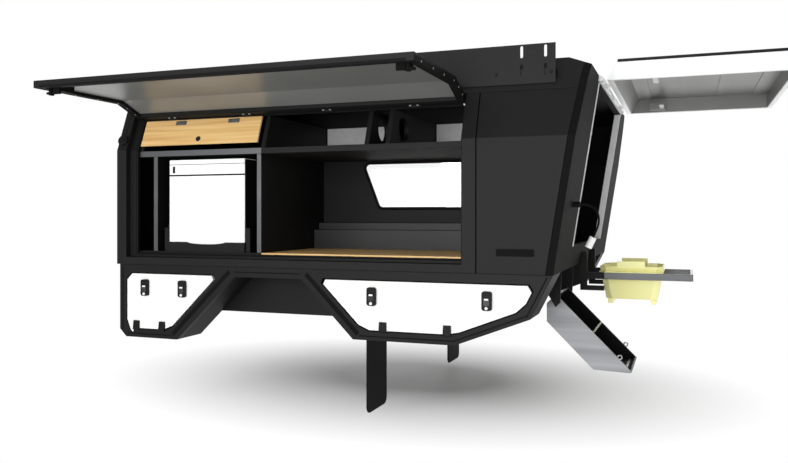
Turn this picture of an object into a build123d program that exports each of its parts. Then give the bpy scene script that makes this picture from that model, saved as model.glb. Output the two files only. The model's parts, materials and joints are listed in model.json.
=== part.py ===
"""Pickup-mounted off-road camper body with its side hatches, rear hatch, tail tray and washing-up tub set out.

Frame: +X points to the rear, +Y to the body's right-hand side, +Z up. The origin is the middle of the chassis
bolt pattern, on the underside of the subframe rails, above the truck's rear axle. Lengths are in millimetres.
Stations are distances behind the front face and heights are above the body's base line.
"""

import os
from math import atan2, cos, radians, sin, tan

from build123d import *

os.makedirs("parts", exist_ok=True)

# Body section, one half: a wall up to the crease, then slope, cantrail and roof chamfer, each by rise and inset
BODY_WIDTH = 2100
BODY_LENGTH = 2150
CREASE_HEIGHT = 562
SLOPE_RISE, SLOPE_INSET = 200, 76
CANTRAIL_RISE, CANTRAIL_INSET = 41, 14
CHAMFER_RISE, CHAMFER_INSET = 102, 82
REAR_LEAN = 9

# Walls
SIDE_WALL = 54
END_WALL = 30
ROOF_WALL = 38
FLOOR_WALL = 36
CABINET_THICKNESS = 22

# Chassis mount
AXLE_STATION = 830
RAIL_HEIGHT = 90
RAIL_WIDTH = 60
RAIL_GAUGE_WIDTH = 800
RAIL_START = 110
RAIL_TAIL_INSET = 190
CROSS_HEIGHT = 60
CROSS_PITCH_LENGTH = 690
BOLT_PATTERN_LENGTH = 1200
BOLT_RADIUS = 6.75

# Side openings and hatches; the quarter panel behind them is measured from the tail
SEAT_FRONT, SEAT_SILL = 56, 37
OPENING_FRONT, OPENING_SILL = 98, 58
QUARTER_LENGTH = 316
SEAT_POST_WIDTH = 64
OPENING_LIP_WIDTH = 12
PANEL_SEAM = 3
HATCH_DEPTH = 30
HATCH_SKIN = 12
HATCH_RIM = 30
HATCH_GAP = 5
HATCH_SWING = 90
HINGE_CHANNEL = 41
HINGE_GAP = 0.6
HINGE_FIRST_STATION = 250
HINGE_COUNT = 4
HINGE_PIN, HINGE_KNUCKLE, HINGE_NOTCH = 4, 7, 9
HINGE_LENGTH, HINGE_EAR, HINGE_END_GAP = 40, 8, 1
LATCH_WIDTH, LATCH_LENGTH, LATCH_DEPTH = 36, 90, 26

# Galley; what stands in its rear bay is measured from the quarter panel
GALLEY_DEPTH = 674
BOARD_HEIGHT = 65
SHELF_DROP, SHELF_THICKNESS = 31, 27
PARTITION_FRONT, PARTITION_MIDDLE = 182, 765
PARTITION_REAR_INSET = 59
DIVIDER_FRONT, DIVIDER_MIDDLE = 98, 785
DIVIDER_REAR_INSET, DIVIDER_SPACING = 424, 100
DIVIDER_HOLE_LENGTH, DIVIDER_HOLE_WIDTH, DIVIDER_HOLE_INSET = 130, 104, 180
LEDGE_DEPTH, LEDGE_STEP_DEPTH = 120, 60
LEDGE_HEIGHT, LEDGE_TOP_HEIGHT = 164, 200
LOCKER_SETBACK = 42
LOCKER_RAIL_HEIGHT, LOCKER_RAIL_THICKNESS = 48, 24
FLAP_FRONT, FLAP_LENGTH, FLAP_HEIGHT = 104, 662, 130
FLAP_THICKNESS = 12
WINDOW_INSET, WINDOW_LENGTH, WINDOW_RAKE = 224, 495, 95
WINDOW_FOOT_HEIGHT, WINDOW_GAP = 277, 11
WINDOW_CORNER_RADIUS = 28
PANE_THICKNESS = 6

# Fridge on its slide
FRIDGE_FRONT, FRIDGE_WIDTH = 268, 424
FRIDGE_DEPTH = 420
FRIDGE_SETBACK = 62
FRIDGE_GAP = 19.6
LID_HEIGHT, LID_GROOVE = 76, 5
TRAY_THICKNESS = 10
TRAY_LIP = 46
LIP_DIP = 10
SLIDE_WIDTH, SLIDE_HEIGHT, SLIDE_LENGTH = 24, 42, 560
SLIDE_POST_HEIGHT, SLIDE_POST_DEPTH = 116, 30
SLIDE_GAP = 0.4

# Rear opening, hatch and hinge, measured down from the roof
REAR_OPENING_HALF = 600
REAR_OPENING_FOOT = 100
REAR_OPENING_DROP = 5
REAR_HATCH_HALF = 632
REAR_HATCH_LENGTH = 775
REAR_HATCH_DEPTH = 90
REAR_HATCH_SLANT = 45
REAR_HATCH_RIM = 22
REAR_SKIN = 6
REAR_HINGE_DROP = 55
REAR_RIM_DROP = 10
REAR_HINGE_SETBACK = 16
REAR_SEAL_GAP = 10
REAR_PIN = 5
PIN_GAP = 0.3
KNUCKLE = 10
STRIP_DROP = 9
STRIP_RISE = 15
ROOF_TAIL_REACH = 40
STRIP = 8
REAR_LUGS = (-590, 0, 590)
REAR_KNUCKLES = (-400, 400)
LUG_WIDTH = 50
TRIM = 6
TRIM_PROUD = 4

# Tail tray, hung from the floor behind the departure line
TAIL_NEAR, TAIL_FAR = -600, -220
TAIL_HINGE_INSET, TAIL_HINGE_DROP = 58, 156
TAIL_LENGTH = 470
TAIL_DEPTH = 118
TAIL_SHEET = 8
TAIL_DROOP = 45
TAIL_PIN = 7
TAIL_EYE_INSET = 26
TAIL_HANGER = 10
TAIL_CLEAR = 5

# Washing-up tub on its bracket, measured behind the tail
SINK_HALF = 195
SINK_BAR_WIDTH, SINK_BAR_HEIGHT = 12, 33
SINK_BAR_TOP = -44
SINK_CLAMP_REACH, SINK_BAR_REACH = 117, 531
SINK_BRACKET_WIDTH = 20
SINK_BRACKET_FOOT, SINK_BRACKET_TOP = -134, 60
SINK_BRACKET_STEM = 24
TUB_GAP, TUB_LENGTH = 90, 305
TUB_HALF = 165
TUB_DEPTH, TUB_RISE = 134, 30
TUB_TAPER = 30
TUB_SHEET = 5
TUB_RIM = 6
TUB_RIM_WIDTH = 26
TUB_FOOT_LENGTH, TUB_FOOT_WIDTH, TUB_FOOT_HEIGHT, TUB_FOOT_INSET = 23, 200, 27, 7
HANDLE_LENGTH, HANDLE_HEIGHT, HANDLE_THICKNESS = 133, 26, 10

# Lower boxes, set in a little from the side wall, and the wheel arch, measured from the axle
LOWER_INSET = 6
LOWER_DEPTH = 200
FRAME_PLATE = 40
BOX_SHEET = 8
BOX_FRONT = 14
FRONT_BOX_DROP, REAR_BOX_DROP = 358, 305
FRONT_BOX_CORNER = 38
ARCH_RISE = 47
ARCH_TOP_AHEAD, ARCH_TOP_BEHIND = 162, 188
ARCH_FOOT_AHEAD, ARCH_FOOT_BEHIND = 479, 444
TAIL_KNEE_INSET, TAIL_KNEE_DROP = 92, 181
TAIL_FLAT_SHARE = 0.531
LINER_DROP, LINER_THICKNESS = 235, 8
DOOR_RAIL = 40
ARCH_RAIL = 70
DOOR_GAP = 5
DOOR_THICKNESS = 20
DOOR_CORNER = 30
DOOR_HINGE_PROUD = 6
DOOR_KNUCKLE = 5.5
PADDLE_WIDTH, PADDLE_LENGTH, PADDLE_PROUD = 42, 80, 14
STRAP_WIDTH, STRAP_LENGTH, STRAP_PROUD = 34, 38, 5
PADDLE_DROP = 112
PADDLE_FRONT, PADDLE_ARCH_LAP = 170, 35
PADDLE_ARCH_GAP, PADDLE_TAIL_INSET = 92, 271
STRAP_FRONT, STRAP_SPACING = 100, 150
STRAP_ARCH_GAP, STRAP_TAIL_INSET = 126, 49

# Mudflaps behind the wheels
MUDFLAP_REACH = 398
MUDFLAP_OUTER, MUDFLAP_WIDTH = 792, 251
MUDFLAP_DROP = 698
HANGER_DROP = 330
MUDFLAP_LAP = 40
HANGER_THICKNESS, MUDFLAP_THICKNESS = 6, 8
MUDFLAP_RADIUS = 34

# Roof fittings
PLATE_FRONT, PLATE_TAIL_INSET = 260, 2
PLATE_SKIRT, PLATE_RISE = 15, 47
PLATE_SHEET = 5
PLATE_STANDOFF = 6
PLATE_FOOT_RISE, PLATE_FOOT_HEIGHT = 30, 34
SLOT_WIDTH, SLOT_LENGTH = 12, 50
SLOT_UPPER_DROP, SLOT_LOWER_RISE = 31, 56
RING_REACH, RING_SIDE = 35, 330
RING_RADIUS, RING_WIRE = 18, 4
RING_CORNERS = 12
RING_FOOT = 12
MARKER_STATION, MARKER_RISE = 28, 50
MARKER_RADIUS, MARKER_PROUD = 27, 12

# Lighting lead at the rear post: diameter, and route as reach behind the post and height
LEAD_DIAMETER = 9
LEAD_SIDE = -800
LEAD_ROUTE = ((30, 288), (66, 288), (100, 262), (110, 222), (100, 182), (84, 148))
GLAND_RADIUS = 13
PLUG_RADIUS, PLUG_LENGTH = 15, 48

# Section corners
HALF = BODY_WIDTH / 2
INNER = HALF - SIDE_WALL
CANTRAIL_HALF, CANTRAIL_HEIGHT = HALF - SLOPE_INSET, CREASE_HEIGHT + SLOPE_RISE
EDGE_HALF, EDGE_HEIGHT = CANTRAIL_HALF - CANTRAIL_INSET, CANTRAIL_HEIGHT + CANTRAIL_RISE
ROOF_HALF, ROOF_HEIGHT = EDGE_HALF - CHAMFER_INSET, EDGE_HEIGHT + CHAMFER_RISE

# Stations along the body
QUARTER_STATION = BODY_LENGTH - QUARTER_LENGTH
SEAT_REAR = QUARTER_STATION - SEAT_POST_WIDTH
OPENING_REAR = SEAT_REAR - OPENING_LIP_WIDTH
BAY_STATION = PARTITION_MIDDLE + CABINET_THICKNESS
PARTITION_STATIONS = (PARTITION_FRONT, PARTITION_MIDDLE, QUARTER_STATION - PARTITION_REAR_INSET)
LAST_DIVIDER = QUARTER_STATION - DIVIDER_REAR_INSET
DIVIDER_STATIONS = (DIVIDER_FRONT, DIVIDER_MIDDLE, LAST_DIVIDER - DIVIDER_SPACING, LAST_DIVIDER)
WINDOW_REAR = QUARTER_STATION - WINDOW_INSET
ARCH_TOP_FRONT, ARCH_TOP_REAR = AXLE_STATION - ARCH_TOP_AHEAD, AXLE_STATION + ARCH_TOP_BEHIND
ARCH_FOOT_FRONT, ARCH_FOOT_REAR = AXLE_STATION - ARCH_FOOT_AHEAD, AXLE_STATION + ARCH_FOOT_BEHIND
TAIL_FLAT_END = ARCH_FOOT_REAR + TAIL_FLAT_SHARE * (BODY_LENGTH - ARCH_FOOT_REAR)
TAIL_KNEE_STATION = BODY_LENGTH - TAIL_KNEE_INSET
TAIL_HINGE_STATION = BODY_LENGTH - TAIL_HINGE_INSET
RAIL_END = BODY_LENGTH - RAIL_TAIL_INSET
PLATE_REAR = BODY_LENGTH - PLATE_TAIL_INSET

# Heights above the base line
SHELF_HEIGHT = CREASE_HEIGHT - SHELF_DROP
FLAP_TOP = CANTRAIL_HEIGHT - LOCKER_RAIL_HEIGHT
FLAP_BOTTOM = FLAP_TOP - FLAP_HEIGHT
REAR_HINGE_HEIGHT = ROOF_HEIGHT - REAR_HINGE_DROP
REAR_TIP_HEIGHT = REAR_HINGE_HEIGHT - REAR_RIM_DROP
REAR_OPENING_TOP = REAR_TIP_HEIGHT - REAR_OPENING_DROP
STRIP_FOOT = REAR_HINGE_HEIGHT - STRIP_DROP
STRIP_TOP = REAR_HINGE_HEIGHT + STRIP_RISE
PLATE_FOOT, PLATE_TOP = EDGE_HEIGHT - PLATE_SKIRT, ROOF_HEIGHT + PLATE_RISE
MARKER_HEIGHT = CREASE_HEIGHT + MARKER_RISE
LOWER_FACE = HALF - LOWER_INSET


def at(station):
    """X of a station measured behind the front face."""
    return station - AXLE_STATION


def up(height):
    """Z of a height above the body's base line."""
    return height + RAIL_HEIGHT


def rear_station(height):
    """Station of the leaning rear face at a height."""
    return BODY_LENGTH + height * tan(radians(REAR_LEAN))


def slope_half(height):
    """Half width of the body's outer face above the crease at a height."""
    share = (height - CREASE_HEIGHT) / (CANTRAIL_HEIGHT - CREASE_HEIGHT)
    return HALF + (CANTRAIL_HALF - HALF) * share


def facet_half(height):
    """Half width of the roof's chamfer at a height."""
    share = (height - EDGE_HEIGHT) / (ROOF_HEIGHT - EDGE_HEIGHT)
    return EDGE_HALF + (ROOF_HALF - EDGE_HALF) * share


def rear_plane(inset):
    """Plane of the rear face, moved forward by inset."""
    lean = radians(REAR_LEAN)
    normal = Vector(cos(lean), 0, -sin(lean))
    face = Plane(origin=(at(BODY_LENGTH), 0, up(0)), x_dir=(0, 1, 0), z_dir=normal)
    return face.offset(-inset)


def tail_height(station):
    """Height of the slope between the flat roof and the hinge strip at a station."""
    start = BODY_LENGTH + ROOF_TAIL_REACH
    share = (station - start) / (rear_station(STRIP_TOP) - start)
    return ROOF_HEIGHT + (STRIP_TOP - ROOF_HEIGHT) * share


def tail_plane():
    """Plane of that slope, normal upwards."""
    start = BODY_LENGTH + ROOF_TAIL_REACH
    run, fall = rear_station(STRIP_TOP) - start, ROOF_HEIGHT - STRIP_TOP
    return Plane(origin=(at(start), 0, up(ROOF_HEIGHT)), x_dir=(0, 1, 0), z_dir=(fall, 0, run))


def across(station):
    """Sketch plane across the body, local x along Y and local y along Z."""
    return Plane.YZ.offset(at(station))


def beside(side):
    """Sketch plane along the body at Y = side, local x along X and local y along Z, normal to -Y."""
    return Plane.XZ.offset(-side)


def outline(points, lift):
    """Closed outline from half-width and height pairs, its heights raised by lift."""
    Polyline([(across_y, height + lift) for across_y, height in points], close=True)


def side_outline(points):
    """Closed outline from station and height pairs."""
    Polyline([(at(station), up(height)) for station, height in points], close=True)


def save(shape, name):
    """Labels a piece and writes its file."""
    shape.label = name
    export_step(shape, f"parts/{name}.step")


def opposite(shape):
    """The same piece on the other side of the body."""
    return mirror(shape, about=Plane.XZ)


def save_pair(shape, name):
    """Writes a left-hand piece and its mirror on the right."""
    save(shape, f"{name}_left")
    save(opposite(shape), f"{name}_right")


SECTION_LEFT = (
    (-HALF, 0),
    (-HALF, CREASE_HEIGHT),
    (-CANTRAIL_HALF, CANTRAIL_HEIGHT),
    (-EDGE_HALF, EDGE_HEIGHT),
    (-ROOF_HALF, ROOF_HEIGHT),
)
SECTION = SECTION_LEFT + tuple((-y, z) for y, z in reversed(SECTION_LEFT))
REACH = rear_station(ROOF_HEIGHT) + END_WALL

# Subframe: two rails and three cross members, drilled for the chassis bolts
with BuildPart() as subframe:
    with BuildSketch(Plane.XY):
        with Locations((at((RAIL_START + RAIL_END) / 2), 0)):
            with GridLocations(0, RAIL_GAUGE_WIDTH, 1, 2):
                Rectangle(RAIL_END - RAIL_START, RAIL_WIDTH)
    extrude(amount=RAIL_HEIGHT)
    with BuildSketch(Plane.XY.offset(RAIL_HEIGHT - CROSS_HEIGHT)):
        with GridLocations(CROSS_PITCH_LENGTH, 0, 3, 1):
            Rectangle(RAIL_WIDTH, RAIL_GAUGE_WIDTH - RAIL_WIDTH)
    extrude(amount=CROSS_HEIGHT)
    with GridLocations(BOLT_PATTERN_LENGTH, RAIL_GAUGE_WIDTH, 2, 2):
        Hole(BOLT_RADIUS)
save(subframe.part, "subframe")

# Floor between the side walls
with BuildPart() as floor_panel:
    with BuildSketch(across(END_WALL)):
        with Locations((0, up(FLOOR_WALL / 2))):
            Rectangle(2 * INNER, FLOOR_WALL)
    extrude(amount=REACH)
    split(bisect_by=rear_plane(END_WALL), keep=Keep.BOTTOM)
save(floor_panel.part, "floor_panel")

# Front wall: the whole section
with BuildPart() as front_wall:
    with BuildSketch(across(0)):
        with BuildLine():
            outline(SECTION, RAIL_HEIGHT)
        make_face()
    extrude(amount=END_WALL)
save(front_wall.part, "front_wall")

# Roof moulding with the cantrails that carry the side hatches
with BuildPart() as roof_cap:
    with BuildSketch(across(END_WALL)):
        with BuildLine():
            outline(SECTION[2:-2], RAIL_HEIGHT)
        make_face()
        with BuildLine():
            inner_left = (
                (-CANTRAIL_HALF + SIDE_WALL, CANTRAIL_HEIGHT),
                (-EDGE_HALF + SIDE_WALL, EDGE_HEIGHT),
                (-ROOF_HALF + SIDE_WALL, ROOF_HEIGHT - ROOF_WALL),
            )
            outline(inner_left + tuple((-y, z) for y, z in reversed(inner_left)), RAIL_HEIGHT)
        make_face(mode=Mode.SUBTRACT)
    extrude(amount=REACH)
    split(bisect_by=rear_plane(END_WALL), keep=Keep.BOTTOM)
    split(bisect_by=tail_plane(), keep=Keep.BOTTOM)
save(roof_cap.part, "roof_cap")

# Rear frame: the whole section in the leaning rear face, with the rear opening
with BuildPart() as rear_frame:
    with BuildSketch(across(BODY_LENGTH - 2 * END_WALL)):
        with BuildLine():
            outline(SECTION, RAIL_HEIGHT)
        make_face()
        with Locations((0, up((REAR_OPENING_FOOT + REAR_OPENING_TOP) / 2))):
            Rectangle(2 * REAR_OPENING_HALF, REAR_OPENING_TOP - REAR_OPENING_FOOT, mode=Mode.SUBTRACT)
    extrude(amount=REACH)
    split(bisect_by=rear_plane(0), keep=Keep.BOTTOM)
    split(bisect_by=rear_plane(END_WALL), keep=Keep.TOP)
    split(bisect_by=tail_plane(), keep=Keep.BOTTOM)
save(rear_frame.part, "rear_frame")

# Bright seal strips on the sides of the rear opening
with BuildPart() as rear_trim:
    with BuildSketch(across(BODY_LENGTH - 2 * END_WALL)):
        with Locations((0, up((REAR_OPENING_FOOT + REAR_OPENING_TOP) / 2))):
            with GridLocations(2 * REAR_OPENING_HALF - TRIM, 0, 2, 1):
                Rectangle(TRIM, REAR_OPENING_TOP - REAR_OPENING_FOOT)
    extrude(amount=REACH)
    split(bisect_by=rear_plane(-TRIM_PROUD), keep=Keep.BOTTOM)
    split(bisect_by=rear_plane(END_WALL), keep=Keep.TOP)
save(rear_trim.part, "rear_trim")

# Side wall profile below the cantrail, bent at the crease
WALL_PROFILE = (
    (-HALF, 0),
    (-HALF, CREASE_HEIGHT),
    (-CANTRAIL_HALF, CANTRAIL_HEIGHT),
    (-CANTRAIL_HALF + SIDE_WALL, CANTRAIL_HEIGHT),
    (-HALF + SIDE_WALL, CREASE_HEIGHT),
    (-HALF + SIDE_WALL, 0),
)

# Side frame round the big opening: an outer seat for the hatch and an inner flange
with BuildPart() as side_frame:
    with BuildSketch(across(END_WALL)):
        with BuildLine():
            outline(WALL_PROFILE, RAIL_HEIGHT)
        make_face()
    extrude(amount=QUARTER_STATION - PANEL_SEAM - END_WALL)
    with BuildSketch(beside(-HALF)):
        with BuildLine():
            side_outline(
                (
                    (OPENING_FRONT, CANTRAIL_HEIGHT),
                    (OPENING_FRONT, OPENING_SILL),
                    (OPENING_REAR, OPENING_SILL),
                    (OPENING_REAR, CANTRAIL_HEIGHT),
                )
            )
        make_face()
    extrude(amount=-HALF, mode=Mode.SUBTRACT)
    with BuildSketch(across(SEAT_FRONT)):
        with BuildLine():
            seat_depth = HATCH_DEPTH + HATCH_GAP
            outline(
                (
                    (-HALF, SEAT_SILL),
                    (-HALF, CREASE_HEIGHT),
                    (-CANTRAIL_HALF, CANTRAIL_HEIGHT),
                    (-CANTRAIL_HALF + seat_depth, CANTRAIL_HEIGHT),
                    (-HALF + seat_depth, CREASE_HEIGHT),
                    (-HALF + seat_depth, SEAT_SILL),
                ),
                RAIL_HEIGHT,
            )
        make_face()
    extrude(amount=SEAT_REAR - SEAT_FRONT, mode=Mode.SUBTRACT)
save_pair(side_frame.part, "side_frame")

# Fixed quarter panel behind the hatch
with BuildPart() as rear_quarter:
    with BuildSketch(across(QUARTER_STATION)):
        with BuildLine():
            outline(WALL_PROFILE, RAIL_HEIGHT)
        make_face()
    extrude(amount=REACH)
    split(bisect_by=rear_plane(END_WALL), keep=Keep.BOTTOM)
save_pair(rear_quarter.part, "rear_quarter")

# Side hatch, drawn closed in its seat and then swung up about the pins at its inner top corner
HATCH_TOP = CANTRAIL_HEIGHT - HINGE_CHANNEL
HATCH_FOOT = SEAT_SILL + HATCH_GAP
HATCH_FRONT, HATCH_REAR = SEAT_FRONT + HATCH_GAP, SEAT_REAR - HATCH_GAP
PIVOT_SIDE = -slope_half(HATCH_TOP) + HATCH_DEPTH
HATCH_HINGE = Axis((0, PIVOT_SIDE, up(HATCH_TOP)), (1, 0, 0))
HINGE_PITCH = (HATCH_REAR - 2 * HINGE_FIRST_STATION) / (HINGE_COUNT - 1)
HINGE_STATIONS = [HINGE_FIRST_STATION + place * HINGE_PITCH for place in range(HINGE_COUNT)]


def hatch_layer(front, back, foot, top):
    """Outline of a layer of the hatch between two depths behind its outer skin."""
    outline(
        (
            (-HALF + front, foot),
            (-HALF + front, CREASE_HEIGHT),
            (-slope_half(top) + front, top),
            (-slope_half(top) + back, top),
            (-HALF + back, CREASE_HEIGHT),
            (-HALF + back, foot),
        ),
        RAIL_HEIGHT,
    )


with BuildPart() as side_hatch:
    with BuildSketch(across(HATCH_FRONT)):
        with BuildLine():
            hatch_layer(0, HATCH_DEPTH, HATCH_FOOT, HATCH_TOP)
        make_face()
    extrude(amount=HATCH_REAR - HATCH_FRONT)
    with BuildSketch(across(HATCH_FRONT + HATCH_RIM)):
        with BuildLine():
            hatch_layer(HATCH_SKIN, HATCH_DEPTH, HATCH_FOOT + HATCH_RIM, HATCH_TOP - HATCH_RIM)
        make_face()
    extrude(amount=HATCH_REAR - HATCH_FRONT - 2 * HATCH_RIM, mode=Mode.SUBTRACT)
    ear_room = HINGE_EAR + 2 * HINGE_END_GAP
    for station in HINGE_STATIONS:
        for start, length, radius, mode in (
            (station - ear_room, ear_room, HINGE_NOTCH, Mode.SUBTRACT),
            (station + HINGE_LENGTH, ear_room, HINGE_NOTCH, Mode.SUBTRACT),
            (station, HINGE_LENGTH, HINGE_KNUCKLE, Mode.ADD),
            (station, HINGE_LENGTH, HINGE_PIN + PIN_GAP, Mode.SUBTRACT),
        ):
            with BuildSketch(across(start)):
                with Locations((PIVOT_SIDE, up(HATCH_TOP))):
                    Circle(radius)
            extrude(amount=length, mode=mode)
save_pair(side_hatch.part.rotate(HATCH_HINGE, -HATCH_SWING), "side_hatch")

# Hook latches on the hatch's inner rim, one near each lower corner
with BuildPart() as hatch_latches:
    for station in (OPENING_FRONT + LATCH_WIDTH, OPENING_REAR - 2 * LATCH_WIDTH):
        with BuildSketch(across(station)):
            with BuildLine():
                rim_face = -HALF + HATCH_DEPTH
                foot = HATCH_FOOT + HATCH_RIM
                hook = LATCH_DEPTH / 2
                outline(
                    (
                        (rim_face - HATCH_DEPTH + HATCH_SKIN, foot),
                        (rim_face - HATCH_DEPTH + HATCH_SKIN, foot + LATCH_LENGTH),
                        (rim_face + hook, foot + LATCH_LENGTH),
                        (rim_face + hook, foot + hook),
                        (rim_face + LATCH_DEPTH, foot + hook),
                        (rim_face + LATCH_DEPTH, foot),
                    ),
                    RAIL_HEIGHT,
                )
            make_face()
        extrude(amount=LATCH_WIDTH)
save_pair(hatch_latches.part.rotate(HATCH_HINGE, -HATCH_SWING), "hatch_latches")

# Hatch hinges under the cantrails: two ears and a pin each
with BuildPart() as hatch_hinges:
    for station in HINGE_STATIONS:
        first_ear = station - HINGE_END_GAP - HINGE_EAR
        for start in (first_ear, station + HINGE_LENGTH + HINGE_END_GAP):
            with BuildSketch(across(start)):
                with Locations((PIVOT_SIDE, up(HATCH_TOP))):
                    Circle(HINGE_KNUCKLE)
                with BuildLine():
                    arm = -CANTRAIL_HALF + LOCKER_SETBACK - PIN_GAP
                    outline(
                        (
                            (PIVOT_SIDE, HATCH_TOP - HINGE_KNUCKLE),
                            (PIVOT_SIDE + HINGE_KNUCKLE, HATCH_TOP),
                            (arm, CANTRAIL_HEIGHT),
                            (arm - 2 * HINGE_KNUCKLE, CANTRAIL_HEIGHT),
                            (PIVOT_SIDE + HINGE_END_GAP, HATCH_TOP + HINGE_KNUCKLE),
                        ),
                        RAIL_HEIGHT,
                    )
                make_face()
            extrude(amount=HINGE_EAR)
        with BuildSketch(across(first_ear)):
            with Locations((PIVOT_SIDE, up(HATCH_TOP))):
                Circle(HINGE_PIN)
        extrude(amount=HINGE_LENGTH + 2 * (HINGE_EAR + HINGE_END_GAP))
    mirror(about=Plane.XZ)
save(hatch_hinges.part, "hatch_hinges")

# Galley cabinet in the left half: board, back wall with its window, partitions, shelf and overhead lockers
GALLEY_BACK = -INNER + GALLEY_DEPTH
GALLEY_END = PARTITION_STATIONS[-1] + CABINET_THICKNESS

# Cabinet floor: a dark base in the fridge bay and a wooden board in the open bay
for floor_name, start, end in (("galley_base", END_WALL, BAY_STATION), ("galley_board", BAY_STATION, GALLEY_END)):
    with BuildPart() as galley_floor:
        with BuildSketch(Plane.XY.offset(up(FLOOR_WALL))):
            with Locations((at((start + end) / 2), (-INNER + GALLEY_BACK) / 2)):
                Rectangle(end - start, GALLEY_DEPTH)
        extrude(amount=BOARD_HEIGHT - FLOOR_WALL)
    save(galley_floor.part, floor_name)

# Stepped ledge along the back of the open bay
with BuildPart() as galley_ledge:
    with BuildSketch(across(BAY_STATION)):
        with BuildLine():
            outline(
                (
                    (GALLEY_BACK, BOARD_HEIGHT),
                    (GALLEY_BACK, LEDGE_TOP_HEIGHT),
                    (GALLEY_BACK - LEDGE_STEP_DEPTH, LEDGE_TOP_HEIGHT),
                    (GALLEY_BACK - LEDGE_STEP_DEPTH, LEDGE_HEIGHT),
                    (GALLEY_BACK - LEDGE_DEPTH, LEDGE_HEIGHT),
                    (GALLEY_BACK - LEDGE_DEPTH, BOARD_HEIGHT),
                ),
                RAIL_HEIGHT,
            )
        make_face()
    extrude(amount=PARTITION_STATIONS[-1] - BAY_STATION)
save(galley_ledge.part, "galley_ledge")

# Window outline with its slanted front edge
WINDOW_TOP = SHELF_HEIGHT - WINDOW_GAP
WINDOW = (
    (WINDOW_REAR - WINDOW_LENGTH, WINDOW_FOOT_HEIGHT),
    (WINDOW_REAR, WINDOW_FOOT_HEIGHT),
    (WINDOW_REAR, WINDOW_TOP),
    (WINDOW_REAR - WINDOW_LENGTH - WINDOW_RAKE, WINDOW_TOP),
)

with BuildPart() as galley_back:
    with BuildSketch(beside(GALLEY_BACK)):
        with BuildLine():
            side_outline(
                (
                    (END_WALL, FLOOR_WALL),
                    (GALLEY_END, FLOOR_WALL),
                    (GALLEY_END, ROOF_HEIGHT - ROOF_WALL),
                    (END_WALL, ROOF_HEIGHT - ROOF_WALL),
                )
            )
        make_face()
    extrude(amount=-CABINET_THICKNESS)
    with BuildSketch(beside(GALLEY_BACK)) as window:
        with BuildLine():
            side_outline(WINDOW)
        make_face()
        fillet(window.vertices(), WINDOW_CORNER_RADIUS)
    extrude(amount=-CABINET_THICKNESS, mode=Mode.SUBTRACT)
save(galley_back.part, "galley_back")

with BuildPart() as galley_window:
    with BuildSketch(beside(GALLEY_BACK + (CABINET_THICKNESS - PANE_THICKNESS) / 2)) as pane:
        with BuildLine():
            side_outline(WINDOW)
        make_face()
        fillet(pane.vertices(), WINDOW_CORNER_RADIUS)
    extrude(amount=-PANE_THICKNESS)
save(galley_window.part, "galley_window")

with BuildPart() as galley_partitions:
    for station in PARTITION_STATIONS:
        with BuildSketch(across(station)):
            with BuildLine():
                outline(
                    (
                        (-INNER, BOARD_HEIGHT),
                        (GALLEY_BACK, BOARD_HEIGHT),
                        (GALLEY_BACK, SHELF_HEIGHT),
                        (-INNER, SHELF_HEIGHT),
                    ),
                    RAIL_HEIGHT,
                )
            make_face()
        extrude(amount=CABINET_THICKNESS)
save(galley_partitions.part, "galley_partitions")

SHELF_TOP = SHELF_HEIGHT + SHELF_THICKNESS
with BuildPart() as locker_shelf:
    with BuildSketch(Plane.XY.offset(up(SHELF_HEIGHT))):
        with Locations((at((END_WALL + GALLEY_END) / 2), (-INNER + GALLEY_BACK) / 2)):
            Rectangle(GALLEY_END - END_WALL, GALLEY_DEPTH)
    extrude(amount=SHELF_THICKNESS)
save(locker_shelf.part, "locker_shelf")

# Face rail of the lockers under the cantrail
with BuildPart() as locker_rail:
    with BuildSketch(across(OPENING_FRONT)):
        with BuildLine():
            outline(
                (
                    (-slope_half(FLAP_TOP) + LOCKER_SETBACK, FLAP_TOP),
                    (-CANTRAIL_HALF + LOCKER_SETBACK, CANTRAIL_HEIGHT),
                    (-CANTRAIL_HALF + LOCKER_SETBACK + LOCKER_RAIL_THICKNESS, CANTRAIL_HEIGHT),
                    (-slope_half(FLAP_TOP) + LOCKER_SETBACK + LOCKER_RAIL_THICKNESS, FLAP_TOP),
                ),
                RAIL_HEIGHT,
            )
        make_face()
    extrude(amount=OPENING_REAR - OPENING_FRONT)
save(locker_rail.part, "locker_rail")

# Upright dividers between the lockers, the last two with an oval hole
LOCKER_FACE = LOCKER_SETBACK + FLAP_THICKNESS
with BuildPart() as locker_dividers:
    for place, station in enumerate(DIVIDER_STATIONS):
        with BuildSketch(across(station)):
            with BuildLine():
                outline(
                    (
                        (-slope_half(SHELF_TOP) + LOCKER_FACE, SHELF_TOP),
                        (-slope_half(FLAP_TOP) + LOCKER_FACE, FLAP_TOP),
                        (GALLEY_BACK, FLAP_TOP),
                        (GALLEY_BACK, SHELF_TOP),
                    ),
                    RAIL_HEIGHT,
                )
            make_face()
            if place > 1:
                middle = up((SHELF_TOP + FLAP_TOP) / 2)
                with Locations((-INNER + DIVIDER_HOLE_INSET, middle)):
                    SlotOverall(DIVIDER_HOLE_LENGTH, DIVIDER_HOLE_WIDTH, mode=Mode.SUBTRACT)
        extrude(amount=CABINET_THICKNESS)
save(locker_dividers.part, "locker_dividers")

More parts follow.
